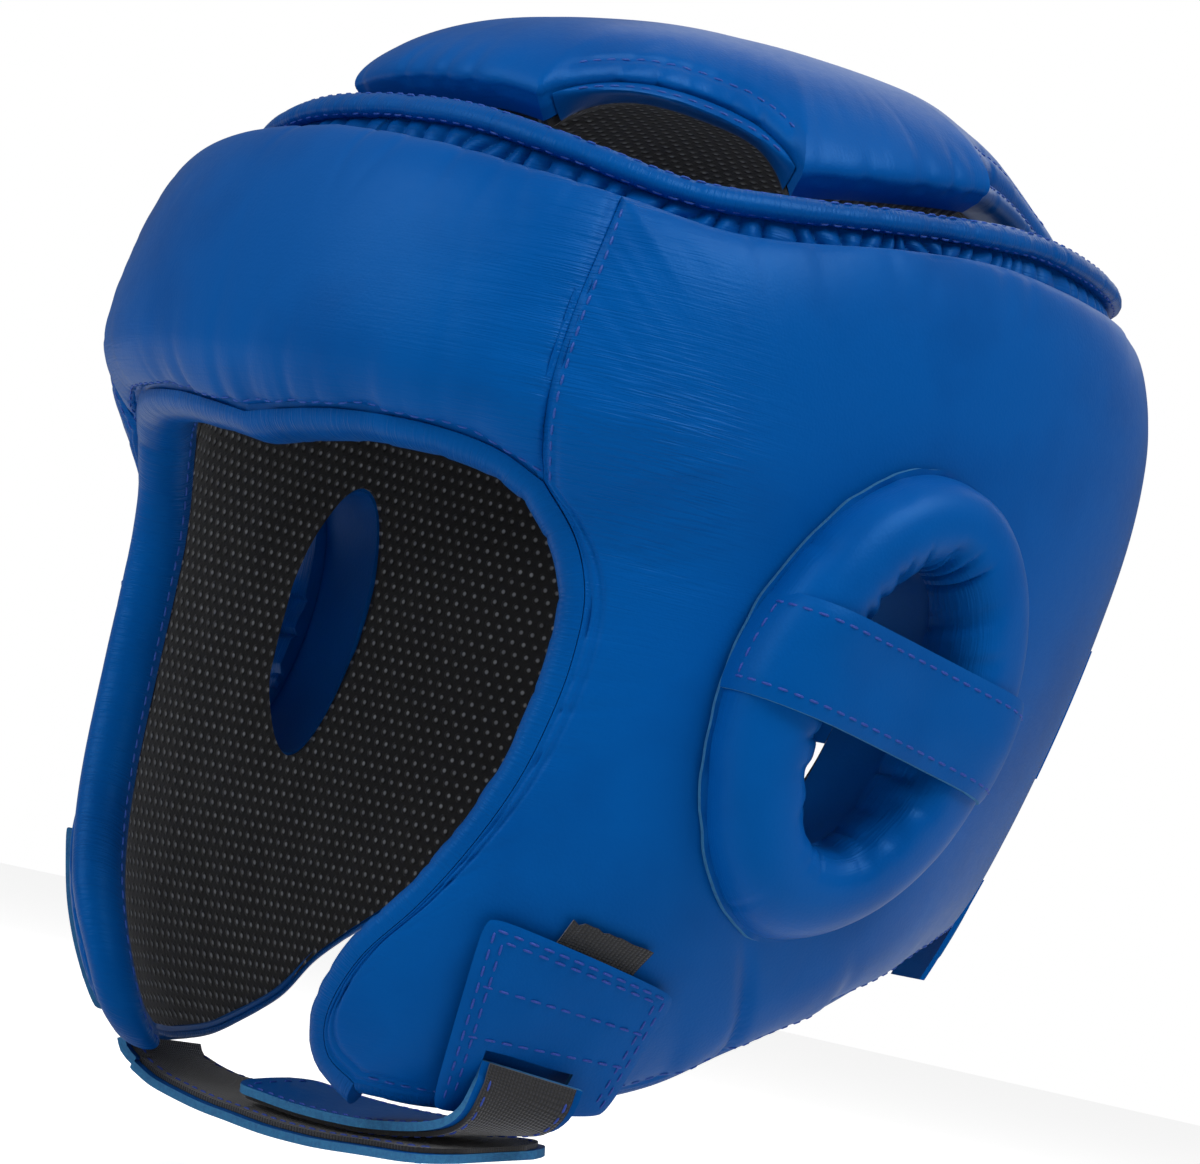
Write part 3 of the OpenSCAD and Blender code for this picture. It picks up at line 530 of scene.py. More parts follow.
def buildSide(side, sideName):
    share = sideRows["flatShare"]
    inward = np.linspace(0, 1, sideRows["flat"]) * share
    rounded = share + (1 - share) * np.sin(np.linspace(0, math.pi / 2, sideRows["rounded"] + 1)[1:])
    top = slice(sideRows["earWall"], sideRows["earWall"] + len(inward) + len(rounded))
    r = np.concatenate([np.zeros(sideRows["earWall"]), inward, rounded, np.ones(sideRows["edgeWall"])])
    part = np.concatenate([np.linspace(0.05, 0.97, sideRows["earWall"]), np.ones(len(inward) + len(rounded)),
                           np.linspace(0.93, 0.04, sideRows["edgeWall"])])
    a, z, off = sideGrid(r, part)
    base = skin(a, z, off)
    normals = gridNormals(base, True)
    outwards = skin(a, z, off + 1) - base
    normals *= np.sign((normals * outwards).sum(-1, keepdims=True).mean())
    total = len(sideLoop)
    surface = (part > 0.999)[:, None]
    edge = base[top.stop - 1]
    toEdge = np.linalg.norm(base - edge[None], axis=-1)
    step = np.linalg.norm(np.roll(edge, -1, 0) - edge, axis=1)
    s = (np.cumsum(step) - step)[None]
    face = closeness(total, "face", counts[3], 14)[None]
    seam = closeness(total, "seam", counts[4], 16)[None]
    rest = 1 - np.maximum(face, seam)
    seed = 3 if side > 0 else 11
    relief = np.zeros_like(toEdge)
    # groove and narrow ridge beside the face binding, where the panel is turned in and sewn
    relief -= face * pucker["groove"] * np.exp(-(toEdge / 1.3) ** 2)
    relief -= face * 0.55 * np.exp(-((toEdge - 3.4) / 0.75) ** 2)
    relief -= seam * 0.5 * np.exp(-(toEdge / 1.4) ** 2)
    # puckers that run in from each sewn edge
    relief -= face * pucker["faceDepth"] * np.exp(-toEdge / 7) * creases(s / 7, toEdge / 30, seed)
    relief -= seam * pucker["seamDepth"] * np.exp(-toEdge / 12) * creases(s / 4.5, toEdge / 40, seed + 1)
    relief -= rest * 0.5 * np.exp(-toEdge / 9) * creases(s / 11, toEdge / 30, seed + 2)
    # long soft dents of the padding, and folds below the ear where the panel turns under
    relief += pucker["soft"] * 0.5 * noise(a * perDegree / 55, z / 34, seed + 3) * ease(0, 18, toEdge)
    under = ease(8, 26, -(z + 82)) * ease(70, 88, a) * (1 - ease(128, 146, a))
    relief -= pucker["underEar"] * under * creases((a * perDegree + 0.9 * z) / 17, (z - 0.6 * a) / 60, seed + 4, 0.3)
    temple = np.exp(-(((a - 52) / 9) ** 2 + ((z + 12) / 20) ** 2))
    relief -= 0.35 * temple * creases((a * perDegree - 2.2 * z) / 6, (a * perDegree + z) / 50, seed + 5, 0.3)
    upright = outwards / np.linalg.norm(outwards, axis=-1, keepdims=True)
    relief = edgeBlend(relief, toEdge, 0.5 * seam)
    points = base + mix(normals, upright, np.exp(-toEdge / 3)[..., None] * seam[..., None]) \
        * (relief * surface)[..., None]
    fine = np.clip(seam * np.exp(-toEdge / 20) + 1.1 * temple + 0.45 * face * np.exp(-toEdge / 12), 0, 1.2) * surface
    uv = shellUv(a, z)
    inner = base - normals * layers["cover"]
    cover = solidPart(points, inner, True, uv, attribute=fine + 0 * a)

    rf = np.concatenate([[0.04], np.linspace(0.06, 0.94, 18), [0.97]])
    af, zf, tf = sideGrid(rf, np.ones(len(rf)))
    foam = solidPart(skin(af, zf, tf - 2.2)[:, ::3], skin(af, zf, 0 * tf + layers["lining"] + 0.1)[:, ::3], True)
    rl = np.linspace(0.012, 0.988, 40)
    al, zl, tl = sideGrid(rl, np.ones(len(rl)))
    quilt = 0.25 * noise(al * perDegree / 8, zl / 8, seed + 6)
    lining = solidPart(skin(al, zl, 0 * tl + layers["lining"])[:, ::2], skin(al, zl, 0 * tl + quilt)[:, ::2], True,
                       shellUv(al[:, ::2], zl[:, ::2]))
    fixed = mirrorPart if side < 0 else (lambda p: p)
    node = sideName + "_side_"
    place(meshObject(sideName + "SideCover", fixed(cover), [panelLeather]), "root", [node + "cover"])
    place(meshObject(sideName + "SideFoam", fixed(foam), [foamGrey]), "root", [node + "foam"])
    place(meshObject(sideName + "SideLining", fixed(lining), [spacerMesh]), "root", [node + "lining"])
    seamCols = slice(startOf["seam"], startOf["seam"] + counts[4])
    line, normal = lineAt(points[top][:, seamCols], normals[top][:, seamCols], toEdge[top][:, seamCols], 2.4)
    lowerCols = slice(startOf["rear"], startOf["lower"] + counts[2])
    low, lowNormal = lineAt(points[top][:, lowerCols], normals[top][:, lowerCols], toEdge[top][:, lowerCols], 2.6)
    runs = [fixed(stitchRun(line, normal)), fixed(stitchRun(low, lowNormal))]
    stitchObject(sideName + "SideStitches", runs, blueThread, "root")


buildSide(1, "left")
buildSide(-1, "right")
print("side panels ready")

brow = {"kink": 0.9, "pucker": 0.9, "foldPitch": 9.0}


def browGrid(r, part, columns):
    r, part = np.asarray(r, float)[:, None], np.asarray(part, float)[:, None]
    u = np.linspace(0, 1, columns)

    def pick(c):
        t = np.linspace(0, 1, len(c))
        return [np.interp(u, t, c[:, k])[None] for k in range(3)]
    (a0, z0, e0), (a1, z1, e1) = pick(browEdge), pick(browTop)
    a, z = mix(a0, a1, r), mix(z0, z1, r)
    full = np.clip(1 - np.abs(2 * r - 1) ** 3, 0, 1) ** (1 / 2.4)
    t = mix(mix(e0, e1, r), fullThickness(a, z) + 1, full)
    ts = np.linspace(0, 1, len(frontSeam))
    seam = [np.interp(r, ts, frontSeam[:, k]) for k in range(3)]
    near = (1 - np.clip(u / 0.2, 0, 1)[None]) ** 1.6
    a, z, t = (mix(x, y, near) for x, y in ((a, seam[0]), (z, seam[1]), (t, seam[2])))
    a, z, t = (np.concatenate([x, sign * x[:, -2::-1]], 1) for x, sign in ((a, -1), (z, 1), (t, 1)))
    return a, z, t * part


def buildForehead():
    r = np.concatenate([np.zeros(8), 0.5 - 0.5 * np.cos(np.linspace(0, math.pi, 76)), np.ones(8)])
    part = np.concatenate([np.linspace(0.05, 0.95, 8), np.ones(76), np.linspace(0.95, 0.05, 8)])
    a, z, off = browGrid(r, part, 100)
    base = skin(a, z, off)
    normals = gridNormals(base, False)
    normals *= np.sign((normals * (skin(a, z, off + 1) - base)).sum(-1, keepdims=True).mean())
    surface = (part > 0.999)[:, None]
    toBrow = np.linalg.norm(base - base[8][None], axis=-1)
    toTop = np.linalg.norm(base - base[83][None], axis=-1)
    toSeam = np.minimum(np.linalg.norm(base - base[:, :1], axis=-1), np.linalg.norm(base - base[:, -1:], axis=-1))
    s = a * perDegree
    relief = -0.9 * np.exp(-(toBrow / 1.6) ** 2) - 0.5 * np.exp(-(toSeam / 1.4) ** 2)
    relief -= brow["pucker"] * np.exp(-toBrow / 13) * creases(s / brow["foldPitch"], toBrow / 45, 21, 0.3)
    relief -= 0.4 * np.exp(-toBrow / 6) * creases(s / 4.2, toBrow / 30, 22)
    relief -= brow["kink"] * np.exp(-((s - 2) / 5) ** 2 - toBrow / 9)
    relief -= 0.45 * np.exp(-toTop / 9) * creases(s / 7, toTop / 30, 23)
    relief -= 0.45 * np.exp(-toSeam / 11) * creases(z / 4.5, toSeam / 40, 24)
    relief += 0.45 * noise(s / 48, z / 24, 25) * ease(0, 12, toBrow) * ease(0, 12, toTop)
    relief = edgeBlend(relief, toSeam, 0.5)
    upright = skin(a, z, off + 1) - base
    upright /= np.linalg.norm(upright, axis=-1, keepdims=True)
    points = base + mix(normals, upright, np.exp(-toSeam / 3)[..., None]) * (relief * surface)[..., None]
    fine = np.clip(np.exp(-toSeam / 14) + 0.35 * np.exp(-toBrow / 14), 0, 1) * surface
    cover = solidPart(points, base - normals * layers["cover"], False, shellUv(a, z), attribute=fine)
    rf = np.linspace(0.04, 0.96, 16)
    af, zf, tf = browGrid(rf, np.ones(16), 40)
    foam = solidPart(skin(af, zf, tf - 2.2), skin(af, zf, 0 * tf + layers["lining"] + 0.1))
    rl = np.linspace(0.015, 0.985, 24)
    al, zl, tl = browGrid(rl, np.ones(24), 60)
    lining = solidPart(skin(al, zl, 0 * tl + layers["lining"]), skin(al, zl, 0.25 * noise(al / 5, zl / 8, 26)), False,
                       shellUv(al, zl))
    place(meshObject("foreheadCover", cover, [panelLeather]), "root", ["forehead_cover"])
    place(meshObject("foreheadFoam", foam, [foamGrey]), "root", ["forehead_foam"])
    place(meshObject("foreheadLining", lining, [spacerMesh]), "root", ["forehead_lining"])
    line, normal = lineAt(points[8:60], normals[8:60], toBrow[8:60], 2.3)
    stitchObject("foreheadStitches", [stitchRun(line, normal)], blueThread, "root")


buildForehead()
print("forehead ready")

# Closes both ends of a tube of points
def endCaps(points):
    return [gridPart(np.concatenate([p, p.mean(1, keepdims=True) + 0 * p]), True) for p in (points[:1], points[-1:])]


rolls = {"face": {"out": 5.5, "fold": 0.35, "pitch": 5.0}, "welt": {"out": 2.2, "fold": 0.1, "pitch": 9.0}}


# Rolled leather along an edge of the shell, with small folds where it turns; also gives its points
def rollPart(path, look, seed):
    d = np.gradient(path[:, :2] * np.array([perDegree, 1]), axis=0)
    kernel = np.ones(5) / 5
    d = np.stack([np.convolve(np.pad(d[:, k], 2, mode="edge"), kernel, "valid") for k in range(2)], 1)
    d /= np.linalg.norm(d, axis=1, keepdims=True)
    aside = np.stack([-d[:, 1], d[:, 0]], 1)
    q = np.radians(np.linspace(-88, 88, 17))
    s = np.arange(len(path)) * 1.2
    e = path[:, 2][:, None]
    fold = 1 - look["fold"] / look["out"] * creases(s / look["pitch"], 0, seed)[:, None] * np.cos(q)[None] ** 0.5
    w = look["out"] * np.abs(np.cos(q))[None] ** 0.75 * fold - 0.3
    h = e / 2 + (e / 2 + 0.15) * np.sin(q)[None]
    h = np.concatenate([h, e * 0.75, e * 0.25], 1)
    w = np.concatenate([w, np.full((len(e), 2), -0.4)], 1)
    a = path[:, 0][:, None] + aside[:, 0][:, None] * w / perDegree
    z = path[:, 1][:, None] + aside[:, 1][:, None] * w
    points = skin(a, z, h)
    uv = np.stack(np.broadcast_arrays(np.arange(points.shape[1] + 1)[None] * 1.4, s[:, None]), -1)
    crease = np.full(points.shape[:2], 0.5)
    return joined([gridPart(points, True, uv, 0, crease)] + endCaps(points)), points


facePath = np.vstack([faceEdge[:-1], browEdge, flipped(browEdge[::-1])[1:], flipped(faceEdge[::-1])[1:]])
facePart, faceRoll = rollPart(facePath, rolls["face"], seed=31)
place(meshObject("faceBinding", facePart, [rolledLeather]), "root", ["face_binding"])
innerLine = faceRoll[:, 2]
rollMiddle = skin(facePath[:, 0], facePath[:, 1], facePath[:, 2] * 0.6)
stitchObject("faceBindingStitches", [stitchRun(innerLine, innerLine - rollMiddle)], blueThread, "root")
weltPart = rollPart(np.vstack([rearEdge[:-1], lowerEdge]), rolls["welt"], seed=37)[0]
for sideName, fixed in (("left", lambda p: p), ("right", mirrorPart)):
    place(meshObject(sideName + "LowerWelt", fixed(weltPart), [rolledLeather]), "root", [sideName + "_lower_welt"])
print("rolled edges ready")

rimCurve = curve([[0, 53.5], [14, 52.5], [27.5, 49], [43, 45], [56, 46.5], [76, 51.5], [98, 56], [112, 57.5],
                  [130, 57], [156, 56], [180, 55.5]], {"mm": 3, "map": True})
topCurve = curve([[0, 46], [14, 44.5], [28, 41.5], [37.7, 39.5], [52.5, 38], [73.5, 44.5], [92, 48.5], [109, 49],
                  [128, 48.5], [145, 47], [160, 46], [180, 46]], {"mm": 3, "map": True})
rim = {"off": 9, "radius": 2.8, "flat": 1.3}
gather = {"folds": 104, "depth": 2.0, "out": 9.6, "inside": 4.2}
pad = {"top": 74, "thick": 17, "edge": 8, "off": -7, "level": 52, "ventDepth": 0.24, "ventRise": 17,
       "vents": [[40, 20], [130, 28], [230, 28], [320, 20]]}


def heightAt(c, a):
    return np.interp(np.where(a > 180, 360 - a, a), c[:, 0], c[:, 1])


def rimHeight(a):
    return heightAt(rimCurve, a)


def buildGather():
    a = wholeTurn(1620)[None]
    v = np.linspace(0, 1, 13)[:, None]
    low = heightAt(topCurve, a) - 1.2
    high = rimHeight(a) - rim["radius"] + 0.9
    z = mix(low, high, v) + 0 * a
    # the folds fan out a little and their spacing wanders
    phase = a / 360 * gather["folds"] * math.pi + 1.5 * noise(a / 9, v * 1.2, 41) + 0.9 * noise(a / 3.1, v * 0.4, 42)
    ridge = np.abs(np.sin(phase)) ** 0.75
    swell = np.sin(np.clip(v * 1.15, 0, 1) * math.pi) ** 0.5
    off = gather["out"] - 1.4 * (1 - swell) - gather["depth"] * (1 - ridge) * (0.35 + 0.65 * swell)
    points = skin(a, z, off)
    inner = skin(a, z, gather["inside"] + 0 * off)
    s = a * perDegree
    uv = np.stack(np.broadcast_arrays(np.concatenate([s, s[:, :1]], 1), np.concatenate([z, z[:, :1]], 1)), -1)
    part = solidPart(points, inner, True, uv, attribute=0.5 + 0 * z)
    place(meshObject("crownGather", part, [panelLeather], 60), "root", ["crown_gather"])


def buildRim():
    a = wholeTurn(540)[:, None]
    q = np.linspace(0, 2 * math.pi, 20, endpoint=False)[None]
    swell = 1 - 0.1 * creases(a / 3.4, 0.0, 43) + 0.05 * noise(a / 14, 0, 44)
    z = rimHeight(a) + rim["radius"] * swell * np.sign(np.sin(q)) * np.abs(np.sin(q)) ** 0.9
    off = rim["off"] + rim["flat"] * rim["radius"] * swell * np.cos(q)
    points = skin(a, z, off)
    ring = np.concatenate([points, points[:1]], 0)
    s = np.concatenate([a, [[360]]]) * perDegree
    uv = np.stack(np.broadcast_arrays(np.arange(21)[None] * 1.0, s), -1)
    part = gridPart(ring, True, uv, 0, np.full(ring.shape[:2], 0.4))
    place(meshObject("crownRim", part, [rolledLeather]), "root", ["crown_rim_binding"])
    runs = []
    turn = np.append(a, 360)
    centre = skin(turn, rimHeight(turn), rim["off"] + 0.6)
    for angle, lift in ((-62, -0.1), (58, -0.05)):
        t = math.radians(angle)
        line = skin(turn, rimHeight(turn) + rim["radius"] * math.sin(t),
                    rim["off"] + rim["flat"] * rim["radius"] * math.cos(t) + lift)
        runs.append(stitchRun(line, line - centre))
    stitchObject("crownRimStitches", runs, blueThread, "root")


# 1 in the middle of a vent, 0 between the vents
def ventOpen(a):
    a = np.asarray(a, float)
    u = np.min([np.abs((a - v + 180) % 360 - 180) / half for v, half in pad["vents"]], 0)
    return np.clip(1 - u * u, 0, 1) ** 0.8


def ventCut(a):
    return pad["ventDepth"] * ventOpen(a)


def padBase(a):
    return rimHeight(a) + rim["radius"] + 0.3


def padPoint(a, s, h):
    up, out = np.sqrt(1 - 0.64 * s ** 2.8), 0.8 * s ** 1.4
    r = s * (cavityRadius(a, pad["level"]) + pad["off"]) + out * h
    rise = pad["ventRise"] * ventOpen(a) * (np.cos(np.radians(a)) > 0) * s ** 4 * np.maximum(0, 1 - h / 14)
    z = padBase(a) + (pad["top"] - padBase(a)) * (1 - s ** 2.1) + rise + up * h
    centre = head["lean"] * pad["level"]
    return np.stack([r * np.sin(np.radians(a)), centre - r * np.cos(np.radians(a)), z + 0 * r], -1)


def padThickness(r):
    t = np.clip((r - 0.6) / 0.4, 0, 1)
    return mix(pad["edge"], pad["thick"], (1 - t ** 2.2) ** (1 / 2.2))


def padSurface(r, a, low, high):
    return [padPoint(a, r * (1 - ventCut(a)), padThickness(r) * share + more) for share, more in (low, high)]


padColumns = 480


def buildCrownPad():
    a = wholeTurn(padColumns)[None]
    rounded = 0.6 + 0.4 * np.sin(np.linspace(0, math.pi / 2, 40)[1:])
    r = np.concatenate([[0.0015], np.linspace(0.03, 0.6, 24), rounded])[:, None]
    bottom, top = padSurface(r, a, (0, 2.2), (1, 0))
    walls = [mix(top[-1], bottom[-1], t)[None] for t in (0.25, 0.5, 0.75, 0.97)]
    base = np.concatenate([top] + walls)
    normals = gridNormals(base, True)
    normals *= np.sign(normals[10, :, 2].mean())
    toEdge = np.linalg.norm(base - top[-1][None], axis=-1)
    s = a * perDegree
    relief = -0.5 * np.exp(-((toEdge - 7) / 1.3) ** 2) * ease(0.1, 0.5, ventOpen(a))
    relief -= 0.7 * np.exp(-toEdge / 9) * creases(s / 8, toEdge / 30, 51, 0.3)
    relief += 0.6 * noise(base[..., 0] / 42, base[..., 1] / 42, 52) * ease(0, 14, toEdge)
    surface = np.concatenate([np.ones(len(top)), np.zeros(4)])[:, None]
    points = base + normals * (relief * surface)[..., None]
    inner = base - normals * layers["cover"]
    uv = np.concatenate([base[..., :2], base[:, :1, :2]], 1)
    cover = solidPart(points, inner, True, uv, attribute=0.25 * np.exp(-toEdge / 10))
    place(meshObject("crownPadCover", cover, [panelLeather]), "root", ["crown_pad_cover"])
    rf = np.concatenate([[0.002], np.linspace(0.05, 0.97, 14)])[:, None]
    af = wholeTurn(120)[None]
    low, high = padSurface(rf, af, (0, 2.4), (1, -2.0))
    place(meshObject("crownPadFoam", solidPart(high, low, True), [foamGrey]), "root", ["crown_pad_foam"])
    rl = np.concatenate([[0.0015], np.linspace(0.04, 0.985, 26)])[:, None]
    al = wholeTurn(240)[None]
    low, high = padSurface(rl, al, (0, 0), (0, 2.0))
    uvl = np.concatenate([low[..., :2], low[:, :1, :2]], 1)
    place(meshObject("crownPadLining", solidPart(high, low, True, uvl), [spacerMesh]), "root", ["crown_pad_lining"])
    runs = []
    for v, half in pad["vents"]:
        away = (a[0] - v + 180) % 360 - 180
        cols = sorted((k for k in range(padColumns) if abs(away[k]) < half - 1), key=lambda k: away[k])
        upper = slice(0, len(top))
        line, normal = lineAt(points[upper][:, cols], normals[upper][:, cols], toEdge[upper][:, cols], 7)
        runs.append(stitchRun(line, normal))
    stitchObject("crownPadStitches", runs, blueThread, "root")


ventRoll = {"out": 5.0, "steps": 70}


# Rolled leather along the mouth of each vent, tapering into the pad's side at both ends
def buildVents():
    parts, runs = [], []
    for n, (v, half) in enumerate(pad["vents"]):
        u = np.linspace(-1, 1, ventRoll["steps"])[:, None]
        a = v + half * 0.96 * u
        reach = cavityRadius(a, pad["level"]) + pad["off"]
        s0 = 1 - ventCut(a) + 0.2 / reach
        q = np.radians(np.linspace(-90, 90, 13))[None]
        out = ventRoll["out"] * (1 - np.abs(u) ** 5) + 0.5
        out = out * (1 - 0.09 * creases(u * 7, 0, 61 + n))
        w, h = out * np.abs(np.cos(q)) ** 0.8, pad["edge"] / 2 + (pad["edge"] / 2 + 0.2) * np.sin(q)
        w = np.concatenate([w, -0.5 + 0 * u], 1)
        h = np.concatenate([h + 0 * u, pad["edge"] / 2 + 0 * u], 1)
        points = padPoint(a, s0 + w / reach, h)
        parts += [gridPart(points, True, None, 0, np.full(points.shape[:2], 0.5))] + endCaps(points)
        line = points[4:-4, 10]
        runs.append(stitchRun(line, line - points[4:-4].mean(1)))
    place(meshObject("crownVentBindings", joined(parts), [rolledLeather]), "root", ["crown_vent_bindings"])
    stitchObject("crownVentStitches", runs, blueThread, "root")


def buildFlange():
    a = wholeTurn(padColumns)[None]
    outer = rim["off"] - rim["flat"] * rim["radius"] + 0.6
    inner = mix(pad["off"] + 1, outer - 3, ease(0, 0.1, ventCut(a)))
    v = np.linspace(0, 1, 6)[:, None]
    off = mix(outer, inner, v)
    lift = 0.5 * noise(a / 11, v, 45)
    top, bottom = skin(a, rimHeight(a) + 2.2 + 0.3 * lift + 0 * off, off), skin(a, rimHeight(a) + 0.5 + 0 * off, off)
    uv = np.stack(np.broadcast_arrays(np.arange(padColumns + 1.0)[None], v * 10), -1)
    place(meshObject("crownRimFlange", solidPart(top, bottom, True, uv), [rolledLeather]), "root",
          ["crown_rim_flange"])


buildGather()
buildRim()
buildFlange()
buildCrownPad()
buildVents()
print("crown ready")

ringLook = {"columns": 260, "arc": 34, "crease": 1.7, "flange": 1.0}


def ringPoint(t, d, h):
    a, z = earAt(t, ear["halfWidth"] + d, ear["halfHeight"] + d)
    return skin(a, z, fullThickness(a, z) + ear["gap"] + h)


earStrap = {"width": 22, "thick": 1.8, "slope": 0.17, "stitchIn": 2.6}
over = ear["halfWidth"] + ear["padWidth"]
earStrapPath = [[-over - 0.8, 1.5], [-over + 0.6, 6.6], [-over + 3.6, 11.4],
                [-ear["halfWidth"], ear["padHeight"] + 1], [-9, ear["padHeight"] + 0.4],
                [9, ear["padHeight"] + 0.4], [ear["halfWidth"], ear["padHeight"] + 1],
                [over - 3.6, 11.4], [over - 0.6, 6.6], [over + 0.8, 1.5]]


def buildEar(side, sideName):
    fixed = mirrorPart if side < 0 else (lambda p: p)
    seed = 71 if side > 0 else 81
    t = np.linspace(0, 2 * math.pi, ringLook["columns"], endpoint=False)[:, None]
    q = np.linspace(0, math.pi, ringLook["arc"])[None]
    d = ear["padWidth"] * np.sign(np.cos(q)) * np.abs(np.cos(q)) ** 0.85
    h = ear["padHeight"] * np.sin(q) ** 0.85
    inward, outward = ease(0.1, 0.95, -np.cos(q)), ease(0.45, 1, np.cos(q))
    around = t * 26
    folds = inward * creases(around / 4.2, q * 0.6, seed, 0.34) * (0.75 + 0.5 * noise(around / 24, 0, seed + 1))
    edge = outward * creases(around / 6.5, q * 0.5, seed + 2, 0.25)
    shrink = ringLook["crease"] * folds + 0.4 * edge - 0.35 * noise(around / 22, q, seed + 3) * np.sin(q)
    size = 1 - shrink / 11 + 0.16 * ease(0.2, 1, np.cos(t)) * ease(-0.2, 0.9, -np.cos(q))
    points = ringPoint(t, d * size, h * size)
    base = ringPoint(t, d * 0.98, 0 * h - 0.6)
    loop = np.concatenate([points, base[:, ::-6]], 1)
    ring = np.concatenate([loop, loop[:1]], 0)
    uv = lengthUv(ring)
    crease = np.concatenate([0.7 * inward + 0.3 * outward + 0 * t, np.zeros((len(t), loop.shape[1] - q.shape[1]))], 1)
    crease = np.concatenate([crease, crease[:1]], 0)
    cover = gridPart(ring, True, uv[..., ::-1], 0, crease)
    place(meshObject(sideName + "EarRing", fixed(cover), [panelLeather]), "root", [sideName + "_ear_ring_cover"])
    tf = np.linspace(0, 2 * math.pi, 73)[:, None]
    qf = np.linspace(0, math.pi, 12)[None]
    core = ringPoint(tf, (ear["padWidth"] - 2.4) * np.cos(qf), (ear["padHeight"] - 2.6) * np.sin(qf) + 0.4)
    place(meshObject(sideName + "EarRingFoam", fixed(gridPart(core, True)), [foamGrey]), "root",
          [sideName + "_ear_ring_foam"])
    # sewn flange round the ring, with its cut edge
    tw = np.linspace(0, 2 * math.pi, 240, endpoint=False)[None]
    v = np.linspace(0, 1, 4)[:, None]
    wide = ear["padWidth"] - 1.2 + (ringLook["flange"] + 1.0) * v + 0.25 * noise(tw * 9, 0, seed + 4)
    lift = 0.9 + 0.3 * noise(tw * 12, v, seed + 5)
    upper, lower = ringPoint(tw, wide, lift + 0.9), ringPoint(tw, wide, lift - 0.6)
    flange = solidPart(upper, lower, True, None, 1)
    place(meshObject(sideName + "EarRingFlange", fixed(flange), [rolledLeather, rawEdge]), "root")
    # strap over the ring
    path = curve(earStrapPath, {"mm": 1.2, "map": False})
    w = np.linspace(-1, 1, 17)[None] * earStrap["width"] / 2
    x = path[:, 0][:, None]
    bow = 1 + 0.015 * noise(x / 14, 0, seed + 6)
    wave = 0.35 * noise(x / 12, w / 9, seed + 7) * ease(2, 8, over - np.abs(x))
    tangent = np.gradient(path, axis=0)
    normal2 = np.stack([-tangent[:, 1], tangent[:, 0]], 1) / np.linalg.norm(tangent, axis=1, keepdims=True)
    rounded = 0.5 * (np.abs(w) / (earStrap["width"] / 2)) ** 8

    # both ends are cut to the outline of the ring
    rise = 2 - earStrap["slope"] * np.sign(x) * over + w
    outline = (ear["halfWidth"] + ear["padWidth"]) * np.sqrt(1 - (rise / (ear["halfHeight"] + ear["padWidth"])) ** 2)
    trim = (outline + np.sign(x) * rise * math.tan(math.radians(ear["lean"])) - 0.4) / (over + 0.8)

    def strapFace(h):
        px = x * trim + normal2[:, :1] * h
        ph = path[:, 1][:, None] + normal2[:, 1:] * h + wave
        z = ear["height"] + 2 - earStrap["slope"] * px + w * bow
        a = ear["angle"] + px / perDegree + 0 * w
        return skin(a, z, fullThickness(a, z) + ear["gap"] + ph)

    upper, lower = strapFace(earStrap["thick"] - rounded), strapFace(0 * w)
    strap = solidPart(upper, lower, False, lengthUv(upper), 1)
    place(meshObject(sideName + "EarStrap", fixed(strap), [strapLeather, rawEdge]), "root",
          [sideName + "_ear_strap"])
    runs = []
    n = upper - lower
    for k in (2, 14):
        runs.append(fixed(stitchRun(upper[3:-3, k], n[3:-3, k])))
    for k in (4, -5):
        runs.append(fixed(stitchRun(upper[k, 2:15], n[k, 2:15])))
    stitchObject(sideName + "EarStitches", runs, violetThread, "root")


buildEar(1, "left")
buildEar(-1, "right")
print("ear rings ready")

patches = {
    "left": {"corners": [[45, -102.5], [73.5, -110.5], [73, -137], [44.5, -142.5]], "lift": 2.5, "thick": 2.0},
    "right": {"corners": [[41, -102.5], [71, -110.5], [70.5, -136], [38.5, -139.5]], "lift": 0.7, "thick": 2.0},
}
slotCut = {"angle": 57.2, "height": -131, "width": 22.5, "tall": 5.0, "rows": (30, 38), "cols": (11, 39)}


def patchAt(corners, u, v):
    c = np.array(corners, float)
    u, v = np.broadcast_arrays(np.asarray(u, float), np.asarray(v, float))
    p = mix(mix(c[0], c[1], u[..., None]), mix(c[3], c[2], u[..., None]), v[..., None])
    return p[..., 0], p[..., 1]


